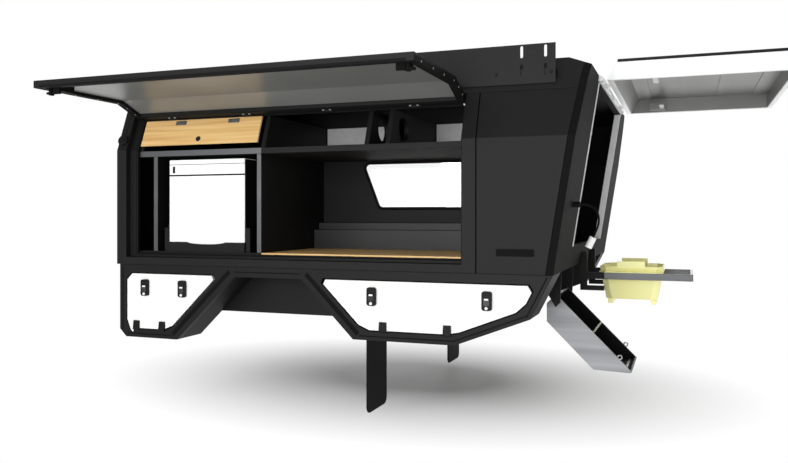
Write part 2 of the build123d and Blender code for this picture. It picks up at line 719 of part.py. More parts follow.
# Wooden flap of the first locker, its round top edge turning under the face rail
SLOPE_LEAN = atan2(SLOPE_INSET, SLOPE_RISE)
FLAP_SHEET = FLAP_THICKNESS - HINGE_GAP
FLAP_ROUND = FLAP_SHEET / 2 * cos(SLOPE_LEAN)
FLAP_AXIS_HEIGHT = FLAP_TOP - HINGE_GAP - FLAP_ROUND
FLAP_AXIS_SIDE = -slope_half(FLAP_AXIS_HEIGHT) + LOCKER_SETBACK + FLAP_SHEET / 2
flap_side, flap_rise = FLAP_ROUND * cos(SLOPE_LEAN), FLAP_ROUND * sin(SLOPE_LEAN)
with BuildPart() as locker_flap:
    with BuildSketch(across(FLAP_FRONT)):
        with BuildLine():
            outline(
                (
                    (-slope_half(FLAP_BOTTOM) + LOCKER_SETBACK, FLAP_BOTTOM),
                    (FLAP_AXIS_SIDE - flap_side, FLAP_AXIS_HEIGHT + flap_rise),
                    (FLAP_AXIS_SIDE + flap_side, FLAP_AXIS_HEIGHT - flap_rise),
                    (-slope_half(FLAP_BOTTOM) + LOCKER_FACE - HINGE_GAP, FLAP_BOTTOM),
                ),
                RAIL_HEIGHT,
            )
        make_face()
        with Locations((FLAP_AXIS_SIDE, up(FLAP_AXIS_HEIGHT))):
            Circle(FLAP_ROUND)
    extrude(amount=FLAP_LENGTH)
save(locker_flap.part, "locker_flap")

# Fridge box with a lid joint all round, standing on its slide tray
TRAY_FOOT = BOARD_HEIGHT + SLIDE_GAP
FRIDGE_FOOT = TRAY_FOOT + TRAY_THICKNESS
FRIDGE_FACE = -HALF + FRIDGE_SETBACK
FRIDGE_REAR = FRIDGE_FRONT + FRIDGE_WIDTH
FRIDGE_HEIGHT = SHELF_HEIGHT - FRIDGE_GAP - FRIDGE_FOOT
FRIDGE_MIDDLE = (at((FRIDGE_FRONT + FRIDGE_REAR) / 2), FRIDGE_FACE + FRIDGE_DEPTH / 2)
with BuildPart() as fridge:
    with BuildSketch(Plane.XY.offset(up(FRIDGE_FOOT))):
        with Locations(FRIDGE_MIDDLE):
            Rectangle(FRIDGE_WIDTH, FRIDGE_DEPTH)
    extrude(amount=FRIDGE_HEIGHT)
    with BuildSketch(Plane.XY.offset(up(FRIDGE_FOOT + FRIDGE_HEIGHT - LID_HEIGHT))):
        with Locations(FRIDGE_MIDDLE):
            Rectangle(FRIDGE_WIDTH, FRIDGE_DEPTH)
            Rectangle(FRIDGE_WIDTH - 2 * LID_GROOVE, FRIDGE_DEPTH - 2 * LID_GROOVE, mode=Mode.SUBTRACT)
    extrude(amount=LID_GROOVE, mode=Mode.SUBTRACT)
save(fridge.part, "fridge")

TRAY_FRONT, TRAY_REAR = FRIDGE_FRONT - LID_GROOVE, FRIDGE_REAR + LID_GROOVE
with BuildPart() as fridge_tray:
    with BuildSketch(beside(FRIDGE_FACE)):
        with BuildLine():
            side_outline(
                (
                    (TRAY_FRONT, TRAY_FOOT),
                    (TRAY_REAR, TRAY_FOOT),
                    (TRAY_REAR, FRIDGE_FOOT),
                    (TRAY_FRONT, FRIDGE_FOOT),
                )
            )
        make_face()
    extrude(amount=-FRIDGE_DEPTH)
    with BuildSketch(beside(FRIDGE_FACE)):
        with BuildLine():
            side_outline(
                (
                    (TRAY_FRONT, TRAY_FOOT),
                    (TRAY_REAR, TRAY_FOOT),
                    (TRAY_REAR, TRAY_FOOT + TRAY_LIP),
                    (TRAY_FRONT, TRAY_FOOT + TRAY_LIP),
                )
            )
        make_face()
        with Locations((FRIDGE_MIDDLE[0], up(TRAY_FOOT + TRAY_LIP))):
            Ellipse(FRIDGE_WIDTH / 4, LIP_DIP, mode=Mode.SUBTRACT)
    extrude(amount=TRAY_THICKNESS)
save(fridge_tray.part, "fridge_tray")

with BuildPart() as fridge_slides:
    for station in (TRAY_FRONT - SLIDE_GAP - SLIDE_WIDTH, TRAY_REAR + SLIDE_GAP):
        with BuildSketch(across(station)):
            with BuildLine():
                outline(
                    (
                        (FRIDGE_FACE, BOARD_HEIGHT),
                        (FRIDGE_FACE + SLIDE_LENGTH, BOARD_HEIGHT),
                        (FRIDGE_FACE + SLIDE_LENGTH, BOARD_HEIGHT + SLIDE_HEIGHT),
                        (FRIDGE_FACE + SLIDE_POST_DEPTH, BOARD_HEIGHT + SLIDE_HEIGHT),
                        (FRIDGE_FACE + SLIDE_POST_DEPTH, BOARD_HEIGHT + SLIDE_POST_HEIGHT),
                        (FRIDGE_FACE, BOARD_HEIGHT + SLIDE_POST_HEIGHT),
                    ),
                    RAIL_HEIGHT,
                )
            make_face()
        extrude(amount=SLIDE_WIDTH)
save(fridge_slides.part, "fridge_slides")

# Rear hatch, set out level: a bright rim under a dark skin, with two hinge knuckles
HINGE_OFFSET = REAR_RIM_DROP + REAR_SEAL_GAP
REAR_HINGE_STATION = rear_station(REAR_HINGE_HEIGHT) + HINGE_OFFSET / cos(radians(REAR_LEAN))
HATCH_START = REAR_HINGE_STATION + REAR_HINGE_SETBACK
RIM_HEIGHT = REAR_HATCH_DEPTH - REAR_SKIN
RIM_TOP = REAR_TIP_HEIGHT + RIM_HEIGHT
HATCH_END = HATCH_START + REAR_HATCH_LENGTH
with BuildPart() as rear_hatch_rim:
    for rim, mode in ((0, Mode.ADD), (REAR_HATCH_RIM, Mode.SUBTRACT)):
        with BuildSketch(beside(-REAR_HATCH_HALF + rim)):
            with BuildLine():
                side_outline(
                    (
                        (HATCH_START + rim, REAR_TIP_HEIGHT),
                        (HATCH_END - rim, REAR_TIP_HEIGHT),
                        (HATCH_END - rim, RIM_TOP),
                        (HATCH_START + REAR_HATCH_SLANT + rim, RIM_TOP),
                    )
                )
            make_face()
        extrude(amount=-2 * (REAR_HATCH_HALF - rim), mode=mode)
    for side in REAR_KNUCKLES:
        with BuildSketch(beside(side - LUG_WIDTH / 2)):
            with Locations((at(REAR_HINGE_STATION), up(REAR_HINGE_HEIGHT))):
                Circle(KNUCKLE)
            with BuildLine():
                side_outline(
                    (
                        (REAR_HINGE_STATION, REAR_HINGE_HEIGHT),
                        (HATCH_START + REAR_HATCH_RIM, REAR_HINGE_HEIGHT),
                        (HATCH_START + REAR_HATCH_RIM, REAR_HINGE_HEIGHT + KNUCKLE),
                        (REAR_HINGE_STATION, REAR_HINGE_HEIGHT + KNUCKLE),
                    )
                )
            make_face()
            with Locations((at(REAR_HINGE_STATION), up(REAR_HINGE_HEIGHT))):
                Circle(REAR_PIN + PIN_GAP, mode=Mode.SUBTRACT)
        extrude(amount=-LUG_WIDTH)
save(rear_hatch_rim.part, "rear_hatch_rim")

with BuildPart() as rear_hatch_skin:
    with BuildSketch(Plane.XY.offset(up(RIM_TOP))):
        with Locations((at((HATCH_START + REAR_HATCH_SLANT + HATCH_END) / 2), 0)):
            Rectangle(REAR_HATCH_LENGTH - REAR_HATCH_SLANT, 2 * REAR_HATCH_HALF)
    extrude(amount=REAR_SKIN)
save(rear_hatch_skin.part, "rear_hatch_skin")

# Hinge strip on the rear face with its lugs and pin
with BuildPart() as rear_hinge:
    with BuildSketch(beside(-REAR_HATCH_HALF)):
        with BuildLine():
            side_outline(
                (
                    (rear_station(STRIP_FOOT), STRIP_FOOT),
                    (rear_station(STRIP_FOOT) + STRIP, STRIP_FOOT),
                    (rear_station(STRIP_TOP) + STRIP, STRIP_TOP),
                    (rear_station(STRIP_TOP), STRIP_TOP),
                )
            )
        make_face()
    extrude(amount=-2 * REAR_HATCH_HALF)
    for side in REAR_LUGS:
        with BuildSketch(beside(side - LUG_WIDTH / 2)):
            with BuildLine():
                side_outline(
                    (
                        (rear_station(STRIP_FOOT), STRIP_FOOT),
                        (REAR_HINGE_STATION, STRIP_FOOT),
                        (REAR_HINGE_STATION, REAR_HINGE_HEIGHT + KNUCKLE),
                        (rear_station(STRIP_TOP), STRIP_TOP),
                    )
                )
            make_face()
        extrude(amount=-LUG_WIDTH)
    with BuildSketch(beside(REAR_LUGS[0])):
        with Locations((at(REAR_HINGE_STATION), up(REAR_HINGE_HEIGHT))):
            Circle(REAR_PIN)
    extrude(amount=-(REAR_LUGS[-1] - REAR_LUGS[0]))
save(rear_hinge.part, "rear_hinge")

# Tail tray: an open aluminium box with cut corners and a divider, hung on pins, drooping to the rear
TAIL_HINGE = Axis((at(TAIL_HINGE_STATION), 0, up(-TAIL_HINGE_DROP)), (0, 1, 0))
TAIL_START = TAIL_HINGE_STATION - TAIL_EYE_INSET
TAIL_TOP = -TAIL_HINGE_DROP + TAIL_EYE_INSET
TAIL_CUT = TAIL_DEPTH / 2


def tail_profile(sheet):
    """Level profile of the tray inside a sheet thickness, open at the top when sheet is set."""
    side_outline(
        (
            (TAIL_START + sheet, TAIL_TOP),
            (TAIL_START + sheet, TAIL_TOP - TAIL_CUT),
            (TAIL_START + TAIL_CUT, TAIL_TOP - TAIL_DEPTH + sheet),
            (TAIL_START + TAIL_LENGTH - TAIL_DEPTH, TAIL_TOP - TAIL_DEPTH + sheet),
            (TAIL_START + TAIL_LENGTH - sheet, TAIL_TOP - TAIL_SHEET - sheet),
            (TAIL_START + TAIL_LENGTH - sheet, TAIL_TOP),
        )
    )


with BuildPart() as tail_tray:
    with BuildSketch(beside(TAIL_NEAR)):
        with BuildLine():
            tail_profile(0)
        make_face()
    extrude(amount=TAIL_NEAR - TAIL_FAR)
    with BuildSketch(beside(TAIL_NEAR + TAIL_SHEET)):
        with BuildLine():
            tail_profile(TAIL_SHEET)
        make_face()
    extrude(amount=TAIL_NEAR - TAIL_FAR + 2 * TAIL_SHEET, mode=Mode.SUBTRACT)
    with BuildSketch(beside(TAIL_NEAR + TAIL_SHEET)):
        with Locations((at(TAIL_START + TAIL_LENGTH / 2), up(TAIL_TOP - TAIL_DEPTH / 2))):
            Rectangle(TAIL_SHEET, TAIL_DEPTH)
    extrude(amount=TAIL_NEAR - TAIL_FAR + 2 * TAIL_SHEET)
    with BuildSketch(beside(TAIL_NEAR)):
        with Locations((at(TAIL_HINGE_STATION), up(-TAIL_HINGE_DROP))):
            Circle(TAIL_PIN + PIN_GAP)
    extrude(amount=TAIL_NEAR - TAIL_FAR, mode=Mode.SUBTRACT)
save(tail_tray.part.rotate(TAIL_HINGE, TAIL_DROOP), "tail_tray")

# Hangers that carry the tray's pins, their rear edges on the departure line
with BuildPart() as tail_hangers:
    for inner, turn in ((TAIL_NEAR - TAIL_CLEAR, 1), (TAIL_FAR + TAIL_CLEAR, -1)):
        with BuildSketch(beside(inner)):
            with BuildLine():
                side_outline(
                    (
                        (BODY_LENGTH - END_WALL, 0),
                        (TAIL_HINGE_STATION + 3 * TAIL_PIN, -TAIL_HINGE_DROP),
                        (TAIL_HINGE_STATION, -TAIL_HINGE_DROP - 3 * TAIL_PIN),
                        (TAIL_HINGE_STATION - 4 * TAIL_EYE_INSET, 0),
                    )
                )
            make_face()
        extrude(amount=turn * TAIL_HANGER)
        with BuildSketch(beside(inner)):
            with Locations((at(TAIL_HINGE_STATION), up(-TAIL_HINGE_DROP))):
                Circle(TAIL_PIN)
        extrude(amount=-turn * (TAIL_SHEET + TAIL_CLEAR))
save(tail_hangers.part, "tail_hangers")

# Washing-up tub: two cranked brackets on the rear sill, a bright bar frame and the loose tub in it
SILL_STATION = rear_station(0)
SINK_CLAMP_END = BODY_LENGTH + SINK_CLAMP_REACH
SINK_BAR_END = BODY_LENGTH + SINK_BAR_REACH
with BuildPart() as sink_brackets:
    for side in (-SINK_HALF, SINK_HALF - SINK_BRACKET_WIDTH):
        with BuildSketch(beside(side)):
            with BuildLine():
                stem = rear_station(SINK_BRACKET_TOP) + SINK_BRACKET_STEM
                side_outline(
                    (
                        (SILL_STATION, 0),
                        (rear_station(SINK_BRACKET_TOP), SINK_BRACKET_TOP),
                        (stem, SINK_BRACKET_TOP),
                        (stem, SINK_BAR_TOP),
                        (SINK_CLAMP_END, SINK_BAR_TOP),
                        (SINK_CLAMP_END, SINK_BAR_TOP - SINK_BAR_HEIGHT),
                        (stem, SINK_BAR_TOP - SINK_BAR_HEIGHT),
                        (stem, SINK_BRACKET_FOOT + SINK_BRACKET_STEM),
                        (SINK_CLAMP_END, SINK_BRACKET_FOOT + SINK_BRACKET_STEM),
                        (SINK_CLAMP_END, SINK_BRACKET_FOOT),
                        (SILL_STATION, SINK_BRACKET_FOOT),
                    )
                )
            make_face()
        extrude(amount=-SINK_BRACKET_WIDTH)
save(sink_brackets.part, "sink_brackets")

with BuildPart() as sink_frame:
    with BuildSketch(Plane.XY.offset(up(SINK_BAR_TOP - SINK_BAR_HEIGHT))):
        with Locations((at((SINK_CLAMP_END + SINK_BAR_END) / 2), 0)):
            Rectangle(SINK_BAR_END - SINK_CLAMP_END, 2 * SINK_HALF)
        with Locations((at((SINK_CLAMP_END + SINK_BAR_END) / 2 - SINK_BAR_WIDTH), 0)):
            Rectangle(
                SINK_BAR_END - SINK_CLAMP_END, 2 * (SINK_HALF - SINK_BAR_WIDTH), mode=Mode.SUBTRACT
            )
    extrude(amount=SINK_BAR_HEIGHT)
save(sink_frame.part, "sink_frame")

TUB_CENTRE = (at(BODY_LENGTH + TUB_GAP + TUB_LENGTH / 2), 0)
TUB_BASE, TUB_MOUTH = SINK_BAR_TOP - TUB_DEPTH, SINK_BAR_TOP + TUB_RISE
TUB_FLAT_LENGTH = TUB_LENGTH - 2 * TUB_TAPER
with BuildPart() as sink_tub:
    with BuildSketch(Plane.XY.offset(up(SINK_BAR_TOP))) as tub_rim:
        with Locations(TUB_CENTRE):
            Rectangle(TUB_LENGTH, 2 * (TUB_HALF + TUB_RIM_WIDTH))
        chamfer(tub_rim.vertices(), TUB_TAPER)
    extrude(amount=TUB_RIM)
    for sheet, mode in ((0, Mode.ADD), (TUB_SHEET, Mode.SUBTRACT)):
        with BuildSketch(Plane.XY.offset(up(TUB_BASE + sheet))) as tub_base:
            with Locations(TUB_CENTRE):
                Rectangle(TUB_FLAT_LENGTH - 2 * sheet, 2 * (TUB_HALF - TUB_TAPER - sheet))
            chamfer(tub_base.vertices(), TUB_TAPER)
        with BuildSketch(Plane.XY.offset(up(TUB_MOUTH))) as tub_mouth:
            with Locations(TUB_CENTRE):
                Rectangle(TUB_LENGTH - 2 * sheet, 2 * (TUB_HALF - sheet))
            chamfer(tub_mouth.vertices(), TUB_TAPER)
        loft(mode=mode)
    with BuildSketch(Plane.XY.offset(up(TUB_BASE - TUB_FOOT_HEIGHT))):
        with Locations(TUB_CENTRE):
            with GridLocations(TUB_FLAT_LENGTH - TUB_FOOT_LENGTH - 2 * TUB_FOOT_INSET, 0, 2, 1):
                Rectangle(TUB_FOOT_LENGTH, TUB_FOOT_WIDTH)
    extrude(amount=TUB_FOOT_HEIGHT)
    for side in (-TUB_HALF, TUB_HALF - HANDLE_THICKNESS):
        with BuildSketch(beside(side)):
            with Locations((TUB_CENTRE[0], up(TUB_MOUTH - HANDLE_THICKNESS))):
                Rectangle(HANDLE_LENGTH, HANDLE_HEIGHT + HANDLE_THICKNESS, align=(Align.CENTER, Align.MIN))
        extrude(amount=-HANDLE_THICKNESS)
save(sink_tub.part, "sink_tub")

# Lower boxes: welded face frame along the side with the wheel arch, a sheet box behind each door
ARCH_RUN_FRONT = ARCH_TOP_FRONT - ARCH_FOOT_FRONT
ARCH_RUN_REAR = ARCH_FOOT_REAR - ARCH_TOP_REAR
FRONT_SLOPE = ARCH_RUN_FRONT / (FRONT_BOX_DROP - ARCH_RISE)
REAR_SLOPE = ARCH_RUN_REAR / (REAR_BOX_DROP - ARCH_RISE)


def front_box(shift):
    """Outline of the front box, its arch side moved forward by shift."""
    return (
        (BOX_FRONT, 0),
        (BOX_FRONT, -FRONT_BOX_DROP + FRONT_BOX_CORNER),
        (BOX_FRONT + FRONT_BOX_CORNER, -FRONT_BOX_DROP),
        (ARCH_FOOT_FRONT - shift, -FRONT_BOX_DROP),
        (ARCH_FOOT_FRONT - shift + FRONT_SLOPE * FRONT_BOX_DROP, 0),
    )


def rear_box(shift):
    """Outline of the rear box, its arch side moved back by shift."""
    return (
        (ARCH_FOOT_REAR + shift - REAR_SLOPE * REAR_BOX_DROP, 0),
        (ARCH_FOOT_REAR + shift, -REAR_BOX_DROP),
        (TAIL_FLAT_END, -REAR_BOX_DROP),
        (TAIL_KNEE_STATION, -TAIL_KNEE_DROP),
        (BODY_LENGTH, 0),
    )


RAIL_SHIFT = ARCH_RAIL - DOOR_RAIL
# Box name, full outline, and the outline whose inset is the doorway
BOXES = (
    ("front", front_box(0), front_box(RAIL_SHIFT)),
    ("rear", rear_box(0), rear_box(RAIL_SHIFT)),
)

with BuildPart() as lower_frame:
    with BuildSketch(beside(-LOWER_FACE)):
        with BuildLine():
            side_outline(
                (
                    (BOX_FRONT, 0),
                    (BOX_FRONT, -FRONT_BOX_DROP + FRONT_BOX_CORNER),
                    (BOX_FRONT + FRONT_BOX_CORNER, -FRONT_BOX_DROP),
                    (ARCH_FOOT_FRONT, -FRONT_BOX_DROP),
                    (ARCH_TOP_FRONT, -ARCH_RISE),
                    (ARCH_TOP_REAR, -ARCH_RISE),
                    (ARCH_FOOT_REAR, -REAR_BOX_DROP),
                    (TAIL_FLAT_END, -REAR_BOX_DROP),
                    (TAIL_KNEE_STATION, -TAIL_KNEE_DROP),
                    (BODY_LENGTH, 0),
                )
            )
        make_face()
    extrude(amount=-FRAME_PLATE)
    for box_name, full, doorway in BOXES:
        with BuildSketch(beside(-LOWER_FACE)) as cut:
            with BuildLine():
                side_outline(doorway)
            make_face()
            offset(amount=-DOOR_RAIL, kind=Kind.INTERSECTION, mode=Mode.REPLACE)
            chamfer(cut.vertices().group_by(Axis.Z)[-1], DOOR_CORNER)
        extrude(amount=-FRAME_PLATE, mode=Mode.SUBTRACT)
save_pair(lower_frame.part, "lower_frame")

with BuildPart() as lower_boxes:
    for box_name, full, doorway in BOXES:
        with BuildSketch(beside(-LOWER_FACE + FRAME_PLATE)):
            with BuildLine():
                side_outline(full)
            make_face()
        extrude(amount=-(LOWER_DEPTH - FRAME_PLATE))
        with BuildSketch(beside(-LOWER_FACE + FRAME_PLATE)):
            with BuildLine():
                side_outline(full)
            make_face()
            offset(amount=-BOX_SHEET, kind=Kind.INTERSECTION, mode=Mode.REPLACE)
        extrude(amount=-(LOWER_DEPTH - FRAME_PLATE - BOX_SHEET), mode=Mode.SUBTRACT)
save_pair(lower_boxes.part, "lower_boxes")

# Liners that close the wheel arches inboard, under the floor
with BuildPart() as wheel_liners:
    with BuildSketch(beside(-LOWER_FACE + LOWER_DEPTH)):
        with BuildLine():
            side_outline(
                (
                    (ARCH_TOP_FRONT, 0),
                    (ARCH_TOP_FRONT - LINER_DROP, -LINER_DROP),
                    (ARCH_TOP_REAR + LINER_DROP, -LINER_DROP),
                    (ARCH_TOP_REAR, 0),
                )
            )
        make_face()
    extrude(amount=-LINER_THICKNESS)
    mirror(about=Plane.XZ)
save(wheel_liners.part, "wheel_liners")

# Drop-down doors in the frames, each with two paddle latches and two hinge straps
DOOR_INSET = DOOR_RAIL + DOOR_GAP
FRONT_PADDLES = (PADDLE_FRONT, ARCH_FOOT_FRONT + PADDLE_ARCH_LAP)
FRONT_STRAPS = (STRAP_FRONT, STRAP_FRONT + STRAP_SPACING)
REAR_PADDLES = (ARCH_FOOT_REAR + PADDLE_ARCH_GAP, BODY_LENGTH - PADDLE_TAIL_INSET)
REAR_STRAPS = (ARCH_FOOT_REAR + STRAP_ARCH_GAP, TAIL_FLAT_END - STRAP_TAIL_INSET)
# Door name, outline to inset, drop of the box, then stations of the paddles and the straps
DOORS = (
    ("front", front_box(RAIL_SHIFT), FRONT_BOX_DROP, FRONT_PADDLES, FRONT_STRAPS),
    ("rear", rear_box(RAIL_SHIFT), REAR_BOX_DROP, REAR_PADDLES, REAR_STRAPS),
)
for door_name, doorway, drop, paddles, straps in DOORS:
    with BuildPart() as lower_door:
        with BuildSketch(beside(-LOWER_FACE)) as leaf:
            with BuildLine():
                side_outline(doorway)
            make_face()
            offset(amount=-DOOR_INSET, kind=Kind.INTERSECTION, mode=Mode.REPLACE)
            chamfer(leaf.vertices().group_by(Axis.Z)[-1], DOOR_CORNER)
        extrude(amount=-DOOR_THICKNESS)
    save_pair(lower_door.part, f"lower_door_{door_name}")

    with BuildPart() as door_fittings:
        with BuildSketch(beside(-LOWER_FACE)):
            with Locations(*[(at(station), up(-PADDLE_DROP)) for station in paddles]):
                RectangleRounded(PADDLE_WIDTH, PADDLE_LENGTH, PADDLE_WIDTH / 4)
        extrude(amount=PADDLE_PROUD)
        door_foot = -drop + DOOR_INSET
        for station in straps:
            with BuildSketch(across(station)):
                with BuildLine():
                    outline(
                        (
                            (-LOWER_FACE, door_foot),
                            (-LOWER_FACE, door_foot + STRAP_LENGTH),
                            (-LOWER_FACE - STRAP_PROUD, door_foot + STRAP_LENGTH),
                            (-LOWER_FACE - DOOR_HINGE_PROUD - STRAP_PROUD, door_foot),
                        ),
                        RAIL_HEIGHT,
                    )
                make_face()
                with Locations((-LOWER_FACE - DOOR_HINGE_PROUD, up(door_foot - DOOR_GAP / 2))):
                    Circle(DOOR_KNUCKLE)
            extrude(amount=STRAP_WIDTH)
    save_pair(door_fittings.part, f"door_fittings_{door_name}")

# Mudflaps and the steel plates that hang them from the floor
with BuildPart() as mud_hangers:
    with BuildSketch(across(AXLE_STATION + MUDFLAP_REACH)):
        with Locations((0, up(-HANGER_DROP / 2))):
            with GridLocations(2 * MUDFLAP_OUTER - MUDFLAP_WIDTH, 0, 2, 1):
                Rectangle(MUDFLAP_WIDTH, HANGER_DROP)
    extrude(amount=HANGER_THICKNESS)
save(mud_hangers.part, "mud_hangers")

with BuildPart() as mudflaps:
    with BuildSketch(across(AXLE_STATION + MUDFLAP_REACH + HANGER_THICKNESS)) as rubber:
        flap_length = MUDFLAP_DROP - HANGER_DROP + MUDFLAP_LAP
        with Locations((0, up(-MUDFLAP_DROP + flap_length / 2))):
            with GridLocations(2 * MUDFLAP_OUTER - MUDFLAP_WIDTH, 0, 2, 1):
                Rectangle(MUDFLAP_WIDTH, flap_length)
        fillet(rubber.vertices().group_by(Axis.Z)[0], MUDFLAP_RADIUS)
    extrude(amount=MUDFLAP_THICKNESS)
save(mudflaps.part, "mudflaps")

# Slotted plates standing along the roof edges, each with a foot that lies on the roof's chamfer
PLATE_SIDE = EDGE_HALF + PLATE_STANDOFF
SLOT_STATIONS = (330, 440, 1220, 1330, PLATE_REAR - 140, PLATE_REAR - 41)
SLOT_HEIGHTS = (PLATE_TOP - SLOT_UPPER_DROP, PLATE_FOOT + SLOT_LOWER_RISE)
with BuildPart() as roof_plate:
    with BuildSketch(across(PLATE_FRONT)):
        with BuildLine():
            foot_low = EDGE_HEIGHT + PLATE_FOOT_RISE - PLATE_FOOT_HEIGHT / 2
            foot_high = foot_low + PLATE_FOOT_HEIGHT
            outline(
                (
                    (-PLATE_SIDE, PLATE_FOOT),
                    (-PLATE_SIDE, foot_low),
                    (-facet_half(foot_low), foot_low),
                    (-facet_half(foot_high), foot_high),
                    (-PLATE_SIDE, foot_high),
                    (-PLATE_SIDE, PLATE_TOP),
                    (-PLATE_SIDE - PLATE_SHEET, PLATE_TOP),
                    (-PLATE_SIDE - PLATE_SHEET, PLATE_FOOT),
                ),
                RAIL_HEIGHT,
            )
        make_face()
    extrude(amount=PLATE_REAR - PLATE_FRONT)
    with BuildSketch(beside(-PLATE_SIDE - PLATE_SHEET)):
        with Locations(*[(at(station), up(height)) for station in SLOT_STATIONS for height in SLOT_HEIGHTS]):
            SlotOverall(SLOT_LENGTH, SLOT_WIDTH, rotation=90)
    extrude(amount=-PLATE_SHEET, mode=Mode.SUBTRACT)
save_pair(roof_plate.part, "roof_plate")

# Lifting rings at the rear roof corners
RING_STATION = BODY_LENGTH + ROOF_TAIL_REACH + RING_REACH
RING_BASE = tail_height(RING_STATION)
ring_front, ring_rear = RING_STATION - 1.5 * RING_FOOT, RING_STATION + 1.5 * RING_FOOT
with BuildPart() as roof_rings:
    with BuildSketch(beside(-RING_SIDE - RING_FOOT / 2)):
        with BuildLine():
            side_outline(
                (
                    (ring_front, tail_height(ring_front)),
                    (ring_front, RING_BASE + RING_FOOT),
                    (ring_rear, RING_BASE + RING_FOOT),
                    (ring_rear, tail_height(ring_rear)),
                )
            )
        make_face()
    extrude(amount=-RING_FOOT)
    with BuildSketch(beside(-RING_SIDE - RING_WIRE)):
        with Locations((at(RING_STATION), up(RING_BASE + RING_FOOT) + RING_RADIUS - RING_WIRE)):
            RegularPolygon(RING_RADIUS + RING_WIRE, RING_CORNERS)
            RegularPolygon(RING_RADIUS - RING_WIRE, RING_CORNERS, mode=Mode.SUBTRACT)
    extrude(amount=-2 * RING_WIRE)
    mirror(about=Plane.XZ)
save(roof_rings.part, "roof_rings")

# Round side markers on the front corners
with BuildPart() as side_marker:
    fall = SLOPE_INSET / SLOPE_RISE
    marker_plane = Plane(
        origin=(at(MARKER_STATION), -slope_half(MARKER_HEIGHT), up(MARKER_HEIGHT)),
        x_dir=(1, 0, 0),
        z_dir=(0, -1, fall),
    )
    with BuildSketch(marker_plane):
        Circle(MARKER_RADIUS)
    extrude(amount=MARKER_PROUD)
save_pair(side_marker.part, "side_marker")

# Lighting lead: gland on the rear post, a short drooping lead and its plug
gland_length, gland_height = LEAD_ROUTE[0]
post = rear_station(gland_height)
lead_points = [(at(post + reach), LEAD_SIDE, up(height)) for reach, height in LEAD_ROUTE]
with BuildPart() as lead_gland:
    with BuildSketch(Plane(origin=lead_points[0], x_dir=(0, 1, 0), z_dir=(-1, 0, 0))):
        Circle(GLAND_RADIUS)
    extrude(amount=2 * gland_length)
    split(bisect_by=rear_plane(0), keep=Keep.TOP)
save(lead_gland.part, "lead_gland")

runs = [Vector(b) - Vector(a) for a, b in zip(lead_points, lead_points[1:])]
lead_radii = []
for before, after in zip(runs, runs[1:]):
    turn = radians(before.get_angle(after))
    lead_radii.append(0.45 * min(before.length, after.length) / tan(turn / 2))
print("lead radii", [round(radius) for radius in lead_radii])
with BuildPart() as lead_cable:
    with BuildLine() as lead_path:
        FilletPolyline(*lead_points, radius=lead_radii)
    with BuildSketch(Plane(origin=lead_points[0], z_dir=lead_path.line % 0)):
        Circle(LEAD_DIAMETER / 2)
    sweep()
lead_length = sum(edge.length for edge in lead_path.edges())
print("lead length", round(lead_length, 1), "volume", round(lead_cable.part.volume))
save(lead_cable.part, "lead_cable")

with BuildPart() as lead_plug:
    with BuildSketch(Plane(origin=lead_points[-1], z_dir=runs[-1].normalized())):
        Circle(PLUG_RADIUS)
    extrude(amount=PLUG_LENGTH)
save(lead_plug.part, "lead_plug")
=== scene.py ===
"""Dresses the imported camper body: finishes, trim, fasteners, the lighting lead, the studio and the camera.

Lengths are metres in the row frame: +X to the rear, +Y to the body's right-hand side, +Z up. Sizes that repeat the
CAD model are written in millimetres, as stations behind the front face and heights above the body's base line.
"""

from __future__ import annotations

import json
import logging
import math
from dataclasses import dataclass, field
from enum import Enum
from typing import Iterable, Sequence

import bmesh
import bpy
from mathutils import Matrix, Vector

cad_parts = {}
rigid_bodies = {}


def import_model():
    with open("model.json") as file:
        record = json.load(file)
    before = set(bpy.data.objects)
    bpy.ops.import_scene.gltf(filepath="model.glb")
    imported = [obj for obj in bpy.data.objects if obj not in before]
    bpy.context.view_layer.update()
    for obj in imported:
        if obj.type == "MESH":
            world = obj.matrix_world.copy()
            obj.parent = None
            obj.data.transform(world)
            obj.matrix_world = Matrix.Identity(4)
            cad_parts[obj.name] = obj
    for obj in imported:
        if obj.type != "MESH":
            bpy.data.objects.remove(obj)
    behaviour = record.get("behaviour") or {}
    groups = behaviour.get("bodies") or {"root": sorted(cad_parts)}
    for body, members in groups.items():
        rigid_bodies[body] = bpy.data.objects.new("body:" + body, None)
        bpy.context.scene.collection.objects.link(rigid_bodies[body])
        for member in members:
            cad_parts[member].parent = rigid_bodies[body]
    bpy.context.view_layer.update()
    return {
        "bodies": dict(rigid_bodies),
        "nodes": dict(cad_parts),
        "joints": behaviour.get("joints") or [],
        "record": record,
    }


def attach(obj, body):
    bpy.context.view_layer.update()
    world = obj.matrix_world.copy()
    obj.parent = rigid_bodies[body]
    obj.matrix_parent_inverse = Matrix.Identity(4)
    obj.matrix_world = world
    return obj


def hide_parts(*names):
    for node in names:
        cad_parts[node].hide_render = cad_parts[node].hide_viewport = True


LOG = logging.getLogger("camper_body")

MM = 0.001
AXLE_STATION = 830.0
RAIL_HEIGHT = 90.0
BODY_LENGTH = 2150.0
REAR_LEAN = math.radians(9.0)
ROOT = "camper_body"

Pair = tuple[float, float]
Triple = tuple[float, float, float]


def at(station: float) -> float:
    """X in metres of a station in millimetres behind the front face."""
    return (station - AXLE_STATION) * MM


def up(height: float) -> float:
    """Z in metres of a height in millimetres above the base line."""
    return (height + RAIL_HEIGHT) * MM


def rear_station(height: float) -> float:
    """Station of the leaning rear face at a height, both in millimetres."""
    return BODY_LENGTH + height * math.tan(REAR_LEAN)


def spot(station: float, side: float, height: float) -> Vector:
    """A point in metres from a station, a side and a height in millimetres."""
    return Vector((at(station), side * MM, up(height)))


